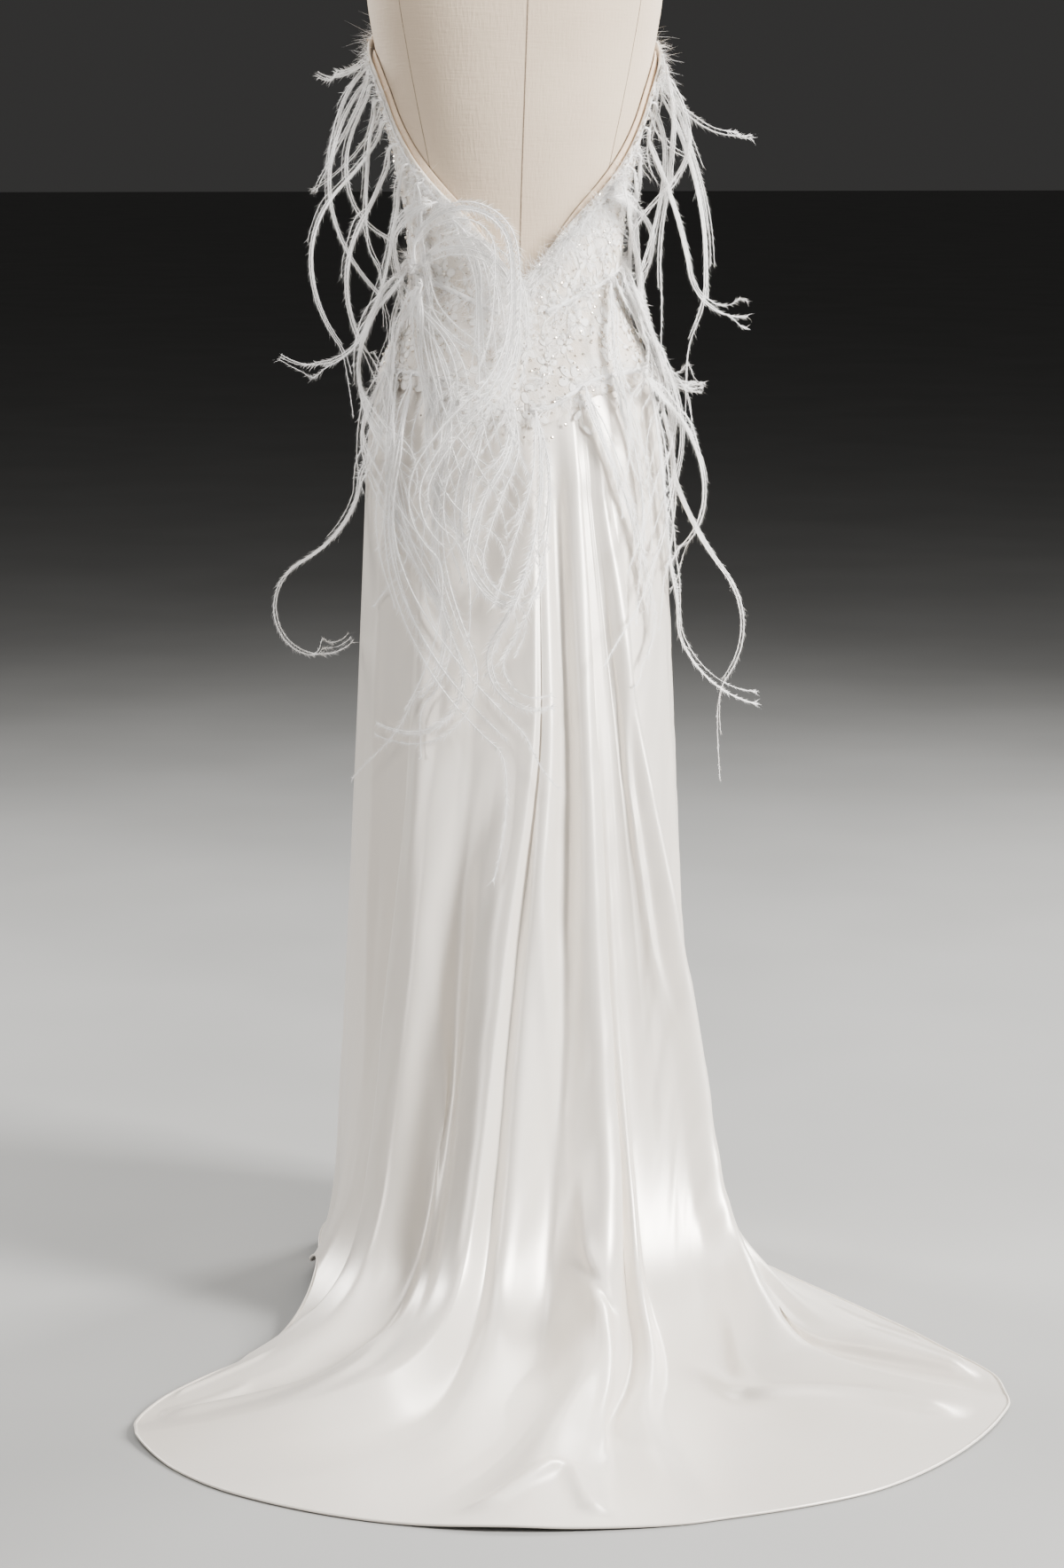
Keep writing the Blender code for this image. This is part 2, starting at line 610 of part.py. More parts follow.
def strip_radius(degrees, height):
    """Distance from the axis to where the plumes leave the lace."""
    angle = np.radians(degrees)
    return form_radius(angle, height) + lace_ease(angle, height) + WALL + SEAM


def plume_steps(plume):
    return max(int(plume.length / 1000 / PLUME_STEP), 8)


def plume_path(strip, plume, body, humps):
    """Points of one plume: a curve drawn in its view's plane and laid over the body at its lift and humps."""
    steps = plume_steps(plume)
    share = np.linspace(0, 1, steps + 1)
    marks = np.linspace(0, 1, len(plume.turns) + 1)
    turned = np.interp(share, marks, np.concatenate([[0], np.cumsum(plume.turns)]))
    heading = np.radians(plume.heading + turned)
    away = share * plume.length / 1000
    pace = fade(away, 0, 0.012) * plume.length / 1000 / steps
    across = np.cumsum(np.cos(heading) * pace)
    rise = np.cumsum(np.sin(heading) * pace)
    root_height = row_height(strip.row, plume.root)
    root_radius = strip_radius(plume.root, root_height) + STRIP_WALL
    view = math.radians(strip.view)
    turn = math.radians(plume.root) - view
    across = across - across[0] + root_radius * math.sin(turn)
    height = rise - rise[0] + root_height
    depth = np.empty_like(across)
    fan = np.linspace(-90, 90, 61)
    for k in range(len(share)):
        ring = body_radius(body, strip.view + fan, np.full(fan.shape, height[k]))
        depth[k] = np.interp(across[k], ring * np.sin(np.radians(fan)), ring * np.cos(np.radians(fan)))
    lift = 0.002 + plume.lift / 1000 * (1 - np.exp(-away / 0.022)) + humps
    reach = max(int(0.020 / PLUME_STEP), 1)
    window = np.hanning(2 * reach + 3)[1:-1]
    padded = np.concatenate([np.full(reach, depth[0]), depth, np.full(reach, depth[-1])])
    depth = np.convolve(padded, window / window.sum(), "valid") + lift
    depth[0] = root_radius * math.cos(turn)
    side = np.array([-math.cos(view), -math.sin(view)])
    out = np.array([-math.sin(view), math.cos(view)])
    flat = across[:, None] * side + depth[:, None] * out
    points = np.column_stack([flat, height])
    clear = PLUME_CLEAR * fade(away, 0, 0.010) + 0.0019
    for _ in range(3):
        degrees = np.degrees(np.arctan2(-points[:, 0], points[:, 1]))
        radius = np.hypot(points[:, 0], points[:, 1])
        wanted = np.maximum(radius, body_radius(body, degrees, points[:, 2]) + clear)
        points[:, :2] *= (wanted / radius)[:, None]
        middle = (points[:-2] + points[2:]) / 2
        points[2:-1] = points[2:-1] * 0.5 + middle[1:] * 0.5
    degrees = np.degrees(np.arctan2(-points[:, 0], points[:, 1]))
    radius = np.hypot(points[:, 0], points[:, 1])
    wanted = np.maximum(radius, body_radius(body, degrees, points[:, 2]) + clear)
    points[:, :2] *= (wanted / radius)[:, None]
    normal = np.array([-math.sin(math.radians(plume.root)), math.cos(math.radians(plume.root)), 0])
    root = normal * root_radius + np.array([0, 0, root_height])
    start = fade(away, 0, 0.012)[:, None]
    return (root + normal * away[:, None]) * (1 - start) + points * start


def fill_plumes(strip, named, chance):
    """Plainer plumes for the free places of a strip, hanging with a soft bend and a curled tip."""
    taken = [plume.root for plume in named]
    places = [angle for angle in np.arange(strip.first + 3, strip.last - 2, 1.0)]
    chance.shuffle(places)
    added = []
    for angle in places:
        if len(added) == strip.fill:
            break
        if min((abs(angle - other) for other in taken), default=99) < ROOT_APART + 1:
            continue
        if strip.view == 0 and abs(angle) < 58:
            continue
        taken.append(angle)
        outward = np.sign(math.sin(math.radians(angle - strip.view)))
        heading = 270 + outward * chance.uniform(4, 34)
        turns = (-outward * chance.uniform(0, 25), chance.uniform(-25, 25), chance.uniform(-75, 75))
        length = 1000 * chance.uniform(*FILL_LENGTHS)
        added.append(Plume(angle, heading, length, turns, 1000 * chance.uniform(*FILL_LIFTS)))
    return added


def all_plumes(body):
    """Every plume's strip and path. Where a plume would touch an earlier one, it humps over it."""
    chance = np.random.default_rng(FILL_SEED)
    laid = []
    taken = np.empty((0, 3))
    for strip in STRIPS:
        named = list(PLUMES.get(strip.name, ()))
        plumes = sorted(named + fill_plumes(strip, named, chance), key=lambda plume: plume.root)
        for plume in plumes:
            index = np.arange(plume_steps(plume) + 1)
            humps = np.zeros(len(index))
            for _ in range(LIFT_TRIES):
                path = plume_path(strip, plume, body, humps)
                chords, along = plume_chords(path, plume)
                gaps = np.linalg.norm(chords[:, None] - taken[None], axis=-1).min(axis=1, initial=1)
                nearest = int(np.argmin(gaps))
                if gaps[nearest] > PLUMES_APART:
                    laid.append((strip, plume, path))
                    taken = np.concatenate([taken, chords])
                    break
                humps += LIFT_STEP * np.exp(-(((index - along[nearest]) * PLUME_STEP / LIFT_REACH) ** 2))
    return laid


def plume_chords(path, plume):
    """Close points on the straight stretches between a plume's sections, and their index along the path."""
    index = plume_sections(path, plume)
    lengths = np.linalg.norm(np.diff(path[index], axis=0), axis=1)
    reached = np.concatenate([[0], np.cumsum(lengths)])
    at = np.append(np.arange(0, reached[-1], CHORD_STEP), reached[-1])
    points = [np.interp(at, reached, path[index, axis]) for axis in range(3)]
    return np.stack(points, axis=-1), np.interp(at, reached, index)


def plume_radius(share):
    return np.interp(share, (0, 0.35, 1), PLUME_RADIUS)


def plume_sections(path, plume):
    """Indices of the path's points that carry a section: closer together where the plume curls."""
    stretches = len(plume.turns)
    bend = np.abs(np.array(plume.turns)) / SECTION_BEND + plume.length / stretches / SECTION_LENGTH
    counts = np.maximum(np.round(bend).astype(int), 1)
    marks = [0.0, *(away / plume.length for away in ROOT_SECTIONS)]
    for k, count in enumerate(counts):
        start = marks[-1] if k == 0 else k / stretches
        marks.extend(np.linspace(start, (k + 1) / stretches, count + 1)[1:])
    index = np.round(np.array(marks) * (len(path) - 1)).astype(int)
    return np.unique(index)


def grow_plume(shape, root, path, plume):
    """A three-sided tube from a root triangle of the strip to a closed tip. Its ring turns with the path."""
    toward = np.gradient(path, axis=0)
    centre = sum((vert.co for vert in root), Vector()) / 3
    heading = Vector((path[0][0], path[0][1], 0)).normalized()
    first = (root[0].co - centre).normalized()
    sense = 1 if heading.cross(first).dot(root[1].co - centre) > 0 else -1
    arms = [Matrix.Rotation(sense * math.radians(turn), 3, heading) @ first for turn in (0, 120, 240)]
    ring = root
    for k in plume_sections(path, plume)[1:]:
        along = Vector(toward[k]).normalized()
        bend = heading.rotation_difference(along)
        arms = [bend @ arm for arm in arms]
        heading = along
        size = plume_radius(k / (len(path) - 1))
        following = [shape.verts.new(Vector(path[k]) + arm * size) for arm in arms]
        for i in range(3):
            j = (i + 1) % 3
            shape.faces.new((ring[i], ring[j], following[j], following[i]))
        ring = following
    shape.faces.new(ring[::-1])


def strip_columns(strip, plumes):
    """The strip's column angles in degrees, and for each plume the column that starts its root."""
    columns = [strip.first]
    starts = []

    def reach(until):
        between = np.arange(math.ceil(columns[-1] / LACE_STEP) * LACE_STEP, until, LACE_STEP)
        columns.extend(angle for angle in between if columns[-1] + 0.5 < angle < until - 0.5)
        columns.append(until)

    for _, plume, _ in plumes:
        radius = strip_radius(plume.root, row_height(strip.row, plume.root))
        half = math.degrees(ROOT_WIDE / 2 / radius)
        reach(plume.root - half)
        starts.append(len(columns) - 1)
        columns.append(plume.root + half)
    reach(strip.last)
    return np.array(columns), starts


def plume_strip(strip, plumes, trees, finish, collection):
    """One narrow strip with its plumes fused to its outer face."""
    columns, starts = strip_columns(strip, plumes)
    shape = bmesh.new()
    rings = []
    for degrees in columns:
        middle = row_height(strip.row, degrees)
        ring = []
        for rise, out in ((1, 0), (-1, 0), (-1, STRIP_WALL), (1, STRIP_WALL)):
            height = middle + rise * STRIP_HIGH / 2
            radius = lace_reach(trees, degrees, height, True) + SEAM + STRIP_CLEAR + out
            point = place(np.radians(degrees), radius, height)
            ring.append(shape.verts.new(point))
        rings.append(ring)
    shape.faces.new(rings[0])
    shape.faces.new(rings[-1][::-1])
    for k, (near, far) in enumerate(zip(rings, rings[1:])):
        for i in range(4):
            j = (i + 1) % 4
            if i == 2 and k in starts:
                shape.faces.new((near[i], far[i], far[j]))
                _, plume, path = plumes[starts.index(k)]
                grow_plume(shape, [near[i], far[j], near[j]], path, plume)
            else:
                shape.faces.new((near[i], far[i], far[j], near[j]))
    bmesh.ops.triangulate(shape, faces=shape.faces)
    bmesh.ops.recalc_face_normals(shape, faces=shape.faces)
    if shape.calc_volume(signed=True) < 0:
        bmesh.ops.reverse_faces(shape, faces=shape.faces)
    mesh = bpy.data.meshes.new(strip.name)
    shape.to_mesh(mesh)
    shape.free()
    return add_object(strip.name, mesh, finish, collection)


def main():
    for obj in list(bpy.data.objects):
        bpy.data.objects.remove(obj)
    gown = bpy.data.collections.new("wedding_gown_on_form")
    bpy.context.scene.collection.children.link(gown)
    linen = material("linen", (0.68, 0.60, 0.50), 0.9)
    steel = material("stand_steel", (0.10, 0.10, 0.11), 0.4, 1.0)
    satin = material("satin", (0.86, 0.83, 0.79), 0.35)
    lace = material("lace", (0.88, 0.86, 0.82), 0.6)
    lining = material("nude_lining", (0.70, 0.58, 0.44), 0.7)
    feather = material("ostrich_plume", (0.93, 0.92, 0.90), 0.8)
    dress_form(linen, gown)
    stand(steel, gown)
    back = skirt_surface(BACK_FOLDS, fold_columns(BACK_FOLDS), share_rows(BACK_ROWS))
    cloth_wall("skirt_back", parted(back), satin, gown)
    front = skirt_surface(FRONT_FOLDS, fold_columns(FRONT_FOLDS), share_rows(FRONT_ROWS))
    cloth_wall("skirt_front", parted(front), satin, gown)
    bodice = [
        cloth_wall("bodice_back_left", parted(bodice_surface(-90, 0)), lace, gown),
        cloth_wall("bodice_back_right", parted(bodice_surface(0, 90)), lace, gown),
        cloth_wall("bodice_front", parted(bodice_surface(90, 270)), lace, gown),
    ]
    trees = lace_trees(bodice)
    for name, first, last in LINING_SPANS:
        cloth_wall(name, lining_surface(trees, first, last), lining, gown, LINING_WALL)
    laid = all_plumes(clothed_body())
    for strip in STRIPS:
        rooted = [entry for entry in laid if entry[0] is strip]
        plume_strip(strip, rooted, trees, feather, gown)


main()
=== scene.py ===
"""The looks of a backless satin wedding gown with a lace bodice and ostrich plumes, on a linen dress form.

Metres, +Z up. The gown's front faces -Y and its train runs out towards +Y. An angle is turned from the
back, +Y, towards -X, so that it grows to the right for someone who stands behind the gown.
"""

import math
from collections import namedtuple

import bmesh
import bpy
import numpy as np
from mathutils import Matrix, Vector


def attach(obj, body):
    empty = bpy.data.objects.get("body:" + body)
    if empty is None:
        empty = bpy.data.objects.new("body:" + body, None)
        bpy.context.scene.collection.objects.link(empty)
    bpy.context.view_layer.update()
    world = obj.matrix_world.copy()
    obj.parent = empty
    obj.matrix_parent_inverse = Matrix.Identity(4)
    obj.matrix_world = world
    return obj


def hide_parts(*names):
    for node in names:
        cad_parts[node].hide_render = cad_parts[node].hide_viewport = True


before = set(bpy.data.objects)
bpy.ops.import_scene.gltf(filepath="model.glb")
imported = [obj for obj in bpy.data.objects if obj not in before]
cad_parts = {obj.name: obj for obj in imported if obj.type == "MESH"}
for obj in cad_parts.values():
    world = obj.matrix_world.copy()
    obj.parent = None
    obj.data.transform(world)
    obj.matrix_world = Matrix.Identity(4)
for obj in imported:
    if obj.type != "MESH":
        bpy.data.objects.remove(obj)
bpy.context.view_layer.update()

for spare in ("Cube", "Camera", "Light"):
    if spare in bpy.data.objects:
        bpy.data.objects.remove(bpy.data.objects[spare])

WALL = 0.002
SEAM = 0.0003

# Dress form: superellipse sections, each with its half width and its depth behind and before the axis.
FORM_SQUARENESS = 2.25
Section = namedtuple("Section", "height half_width back front")
FORM_SECTIONS = (
    Section(0.800, 0.150, 0.118, 0.102),
    Section(0.860, 0.157, 0.126, 0.107),
    Section(0.910, 0.154, 0.122, 0.105),
    Section(0.955, 0.146, 0.113, 0.100),
    Section(1.000, 0.133, 0.101, 0.094),
    Section(1.040, 0.118, 0.090, 0.088),
    Section(1.085, 0.108, 0.082, 0.084),
    Section(1.140, 0.111, 0.083, 0.088),
    Section(1.200, 0.122, 0.090, 0.096),
    Section(1.260, 0.135, 0.099, 0.106),
    Section(1.320, 0.147, 0.106, 0.114),
    Section(1.380, 0.156, 0.111, 0.115),
    Section(1.430, 0.158, 0.110, 0.107),
    Section(1.470, 0.154, 0.104, 0.095),
    Section(1.500, 0.140, 0.094, 0.082),
    Section(1.525, 0.112, 0.081, 0.068),
    Section(1.545, 0.080, 0.067, 0.057),
    Section(1.565, 0.061, 0.057, 0.050),
    Section(1.600, 0.054, 0.053, 0.048),
    Section(1.640, 0.053, 0.052, 0.047),
)

# Skirt: how far it stands off the form, where it hangs free, how it leans out and how softly it lands.
SKIRT_EASE = 0.0018
SKIRT_TOP_LAP = 0.014
HANG_HEIGHT = 0.860
LEAN_SIDE = 0.045
LEAN_BACK = 0.115
LANDING_SPREAD = (0.012, 0.075)
LANDING_HEIGHT = (0.050, 0.085)
TRAIN_DROP = 0.004
TRAIN_FULL = 50.0
TRAIN_NONE = 88.0

# Fold map. Each row follows one crest, edge or valley from the lace down to the hem. The stations are
# shares of the way down. Angles are in degrees, heights in millimetres off the plain cone, reach is the
# hem's distance from the axis in metres, and steps is the number of columns up to the next row.
STATIONS = (0.0, 0.22, 0.42, 0.56, 0.68, 0.84, 1.0)
Fold = namedtuple("Fold", "name angles heights reach steps")
FLAT = (0,) * len(STATIONS)
BACK_FOLDS = (
    Fold("seam_left", (-90, -90, -90, -90, -90, -89, -87), FLAT, 0.218, 4),
    Fold("panel_left", (-66, -66, -67, -68, -67, -62, -53), FLAT, 0.285, 4),
    Fold("foot_left", (-46, -46, -45, -46, -45, -43.5, -42), (0, 0, -3, -4, -3, 0, 0), 0.430, 2),
    Fold("edge_a", (-40, -41, -41, -41.5, -41, -40.5, -41.5), (0, 2, 12, 20, 22, 14, 1), 0.510, 2),
    Fold("ridge_a", (-31, -31, -33, -34, -35, -37, -40.5), (0, 8, 18, 24, 24, 14, 2), 0.590, 3),
    Fold("valley_a", (-19, -18, -22, -24, -26, -30, -39), (0, -2, -9, -14, -12, 0, 0), 0.650, 3),
    Fold("ridge_b", (3, 2, -7.5, -11.5, -14, -18.5, -36.5), (0, 9, 20, 27, 32, 34, 4), 0.688, 2),
    Fold("valley_b", (6, 5, -4.5, -8.5, -11, -14, -30), (0, 3, 6, 8, 8, 0, 0), 0.742, 2),
    Fold("ridge_b2", (9, 8, -1.5, -5.5, -8.5, -11, -24), (0, 6, 13, 15, 12, 6, 0), 0.776, 3),
    Fold("valley_c", (15, 15, 10, 5, 0, -4.5, -13), (0, -2, -9, -14, -14, -1, 0), 0.811, 3),
    Fold("ridge_c", (21, 20.5, 18.5, 16, 9, 0, -5), (0, 9, 15, 22, 28, 28, 4), 0.823, 2),
    Fold("edge_c", (23.5, 23.5, 21.5, 19.5, 12, 2.5, -1), (0, 8, 12, 16, 18, 14, 2), 0.824, 1),
    Fold("foot_c", (25, 25.5, 23.5, 21.5, 14.5, 4.5, 2), (0, 0, -4, -2, 2, 0, 1), 0.824, 1),
    Fold("ridge_d", (26, 27.5, 26, 23.5, 17, 7.5, 6), (0, 0, 0, 8, 16, 12, 0), 0.822, 1),
    Fold("foot_d", (27, 29.5, 29, 26.5, 20, 10.5, 9), (0, 0, -2, -2, -2, 0, 0), 0.817, 2),
    Fold("panel_e", (28.5, 32.5, 34, 33, 28, 17, 19), (0, 1, 4, 5, 3, 0, 0), 0.802, 3),
    Fold("ridge_h", (30.5, 35, 39, 40.5, 37, 24, 36), (0, 5, 16, 20, 14, 16, 2), 0.720, 2),
    Fold("ridge_f", (33, 38.5, 44, 46.5, 44.5, 33, 40), (0, 12, 34, 42, 40, 20, 1), 0.693, 2),
    Fold("foot_f", (37, 43.5, 50, 53, 52, 38, 41.8), (0, 0, 2, 6, 4, 0, 0), 0.673, 2),
    Fold("ridge_g", (46, 52, 58, 61, 61, 44.5, 44.3), (0, 0, 0, 2, 6, 14, 2), 0.641, 3),
    Fold("panel_g", (58, 62, 67, 70, 70, 56, 50), FLAT, 0.530, 3),
    Fold("panel_right", (74, 76, 78, 79, 79, 74, 66), FLAT, 0.318, 3),
    Fold("seam_right", (90, 90, 90, 90, 90, 89, 87), FLAT, 0.218, 0),
)
FRONT_FOLDS = (
    Fold("seam_right", (90, 90, 90, 90, 90, 89, 87), FLAT, 0.218, 2),
    Fold("front_1", (108, 108, 109, 110, 110, 110, 110), (0, 0, 3, 6, 8, 10, 11), 0.207, 2),
    Fold("front_2", (124, 124, 124, 125, 125, 126, 126), (0, 0, -1, -2, -3, -4, -4), 0.197, 2),
    Fold("front_3", (143, 142, 141, 141, 140, 140, 140), (0, 1, 4, 8, 10, 12, 13), 0.187, 2),
    Fold("front_4", (163, 162, 161, 160, 160, 160, 160), (0, 0, -1, -2, -3, -4, -4), 0.180, 2),
    Fold("front_5", (182, 182, 181, 180, 180, 179, 179), (0, 0, 2, 4, 6, 8, 9), 0.177, 2),
    Fold("front_6", (199, 199, 200, 200, 200, 200, 200), (0, 0, -1, -2, -3, -4, -4), 0.180, 2),
    Fold("front_7", (219, 219, 220, 220, 221, 221, 221), (0, 1, 5, 9, 11, 13, 14), 0.187, 2),
    Fold("front_8", (238, 238, 237, 237, 236, 236, 236), (0, 0, -1, -2, -3, -4, -4), 0.197, 2),
    Fold("front_9", (254, 254, 253, 252, 252, 252, 252), (0, 0, 2, 5, 7, 9, 10), 0.207, 2),
    Fold("seam_left", (270, 270, 270, 270, 270, 271, 273), FLAT, 0.218, 0),
)
MERIDIAN_SAMPLES = 400


def smooth_curve(x, xs, ys):
    """Monotone cubic through the points, so that a crest stays the highest place of its fold."""
    xs = np.asarray(xs, float)
    ys = np.asarray(ys, float)
    step = np.diff(xs)
    rise = np.diff(ys) / step
    before, after = rise[:-1], rise[1:]
    same = before * after > 0
    slope = np.zeros_like(ys)
    slope[1:-1] = np.where(same, 2 * before * after / np.where(same, before + after, 1), 0)
    slope[0], slope[-1] = rise[0], rise[-1]
    x = np.clip(x, xs[0], xs[-1])
    i = np.clip(np.searchsorted(xs, x, side="right") - 1, 0, len(xs) - 2)
    t = (x - xs[i]) / step[i]
    ends = (1 + 2 * t) * (1 - t) ** 2 * ys[i] + t * t * (3 - 2 * t) * ys[i + 1]
    bends = t * (1 - t) ** 2 * slope[i] + t * t * (t - 1) * slope[i + 1]
    return ends + step[i] * bends


def fade(x, start, end):
    """0 before start, 1 after end, and a soft step between."""
    t = np.clip((x - start) / (end - start), 0, 1)
    return t * t * (3 - 2 * t)


def soft_ramp(x):
    """ln(1 + e^x): 0 far below, x far above, and round between."""
    return np.logaddexp(0, x)


def from_back(angle):
    """Degrees from the middle of the back, the same to either side."""
    return np.abs(np.degrees(np.arctan2(np.sin(angle), np.cos(angle))))


def table_curve(table, x):
    """A value at x from a table of (x, value) pairs."""
    return smooth_curve(x, *zip(*table))


def form_radius(angle, height):
    """Distance from the axis to the dress form's skin."""
    heights = [s.height for s in FORM_SECTIONS]
    across = smooth_curve(height, heights, [s.half_width for s in FORM_SECTIONS])
    back = smooth_curve(height, heights, [s.back for s in FORM_SECTIONS])
    front = smooth_curve(height, heights, [s.front for s in FORM_SECTIONS])
    sine = np.abs(np.sin(angle))
    cosine = np.cos(angle)
    depth = np.where(cosine > 0, back, front)
    power = FORM_SQUARENESS
    return ((sine / across) ** power + (np.abs(cosine) / depth) ** power) ** (-1 / power)


def place(angle, radius, height):
    """Points from angles, distances from the axis and heights."""
    return np.stack([-np.sin(angle) * radius, np.cos(angle) * radius, height + 0 * radius], -1)


def cone_radius(angle, height):
    """The plain skirt before its folds: it follows the hips, then leans out below them."""
    degrees = from_back(angle)
    train = 1 - fade(degrees, TRAIN_FULL, TRAIN_NONE)
    lean = LEAN_SIDE + LEAN_BACK * train * np.cos(angle) ** 2
    hips = form_radius(angle, np.maximum(height, HANG_HEIGHT)) + SKIRT_EASE
    return hips + lean * np.maximum(HANG_HEIGHT - height, 0)


def fold_values(folds, columns, shares, pick):
    """A value that each fold states at the stations, spread smoothly over columns and shares."""
    starts = [fold.angles[0] for fold in folds]
    stations = [
        smooth_curve(columns, starts, [pick(fold)[k] for fold in folds]) for k in range(len(STATIONS))
    ]
    stations = np.array(stations)
    return np.array([smooth_curve(shares, STATIONS, stations[:, i]) for i in range(len(columns))])


def skirt_top(angle):
    """Height of the skirt's upper edge, hidden under the lace."""
    return lace_bottom(angle) + SKIRT_TOP_LAP


def skirt_surface(folds, columns, shares):
    """Inner face of the skirt, as a grid of points: columns are starting angles in degrees."""
    starts = [fold.angles[0] for fold in folds]
    angle = np.radians(fold_values(folds, columns, shares, lambda fold: fold.angles))
    lift = fold_values(folds, columns, shares, lambda fold: fold.heights) / 1000
    reach = smooth_curve(columns, starts, [fold.reach for fold in folds])
    hem_angle = np.degrees(angle[:, -1])
    hem_angle = np.abs((hem_angle + 180) % 360 - 180)
    train = 1 - fade(hem_angle, TRAIN_FULL, TRAIN_NONE)
    spread = LANDING_SPREAD[0] + (LANDING_SPREAD[1] - LANDING_SPREAD[0]) * train
    landing = LANDING_HEIGHT[0] + (LANDING_HEIGHT[1] - LANDING_HEIGHT[0]) * train
    drop = TRAIN_DROP * fade(train, 0.2, 0.9)
    flare = np.maximum(reach - cone_radius(angle[:, -1], np.zeros(len(columns))), 0.004)
    first = -skirt_top(angle[:, 0]) / landing
    last = np.log(np.expm1(flare / spread))
    base = np.empty(angle.shape + (3,))
    for i in range(len(columns)):
        t = np.linspace(first[i], last[i], MERIDIAN_SAMPLES)
        down = landing[i] * soft_ramp(-t)
        out = spread[i] * soft_ramp(t)
        length = np.concatenate([[0], np.cumsum(np.hypot(np.diff(down), np.diff(out)))])
        at = np.interp(shares * length[-1], length, t)
        height = np.maximum(landing[i] * soft_ramp(-at) - drop[i], 0)
        radius = cone_radius(angle[i], height) + spread[i] * soft_ramp(at)
        base[i] = place(angle[i], radius, height)
    normal = grid_normals(base)
    surface = base + normal * lift[..., None]
    surface[..., 2] = np.maximum(surface[..., 2], 0)
    return surface


def grid_normals(points):
    """Outward unit normals of a grid whose first index turns with the angle and second runs down."""
    turn = np.gradient(points, axis=0)
    down = np.gradient(points, axis=1)
    normal = np.cross(down, turn)
    return normal / np.linalg.norm(normal, axis=-1, keepdims=True)


# Lace bodice: (angle from the back in degrees, height) along its lower and upper edges.
LACE_BOTTOM = (
    (0, 0.932),
    (12, 0.936),
    (24, 0.950),
    (38, 0.964),
    (60, 0.970),
    (90, 0.972),
    (135, 0.968),
    (180, 0.962),
)
LACE_TOP = (
    (0, 1.078),
    (8, 1.092),
    (20, 1.116),
    (35, 1.146),
    (50, 1.176),
    (62, 1.208),
    (70, 1.240),
    (76, 1.278),
    (83, 1.306),
    (92, 1.322),
    (110, 1.342),
    (135, 1.372),
    (155, 1.378),
    (170, 1.358),
    (180, 1.345),
)
LACE_EASE = 0.0022
LACE_STAND_OFF = 0.005
LACE_LAP = 0.0028
LACE_BAND = 0.022


def lace_bottom(angle):
    return table_curve(LACE_BOTTOM, from_back(angle))


def lace_top(angle):
    return table_curve(LACE_TOP, from_back(angle))


def lace_ease(angle, height):
    """Room between the form and the bodice's inner face: it clears the skirt and stands off at the sides."""
    degrees = from_back(angle)
    side = fade(degrees, 25, 60) * (1 - fade(degrees, 82, 110))
    near_edge = 1 - fade(lace_top(angle) - height, 0.0, 0.09)
    over_skirt = 1 - fade(height - lace_bottom(angle), LACE_BAND, LACE_BAND + 0.030)
    return LACE_EASE + LACE_STAND_OFF * side * near_edge + LACE_LAP * over_skirt


# Plumes: strips sewn on the lace, each with the plumes that are rooted in it. view is the side that the
# strip's plumes are seen from, in degrees; fill is how many plainer plumes are added between the named ones.
STRIP_WALL = 0.0016
STRIP_HIGH = 0.005
ROOT_APART = 3.0
EDGE_INSET = 0.013
WAIST_ROW = ((0, 1.045), (14, 1.050), (50, 1.075), (100, 1.100), (180, 1.095))
BASQUE_RISE = 0.017
Strip = namedtuple("Strip", "name row first last view fill")
STRIPS = (
    Strip("plumes_edge_left", "edge", -92, -18, 0, 3),
    Strip("plumes_edge_right", "edge", 18, 92, 0, 5),
    Strip("plumes_waist_left", "waist", -92, -14, 0, 3),
    Strip("plumes_waist_right", "waist", 15, 92, 0, 5),
    Strip("plumes_basque_left", "basque", -76, -2.5, 0, 1),
    Strip("plumes_basque_right", "basque", 2.5, 84, 0, 2),
    Strip("plumes_edge_front", "edge", 96, 264, 180, 15),
    Strip("plumes_waist_front", "waist", 96, 264, 180, 14),
)
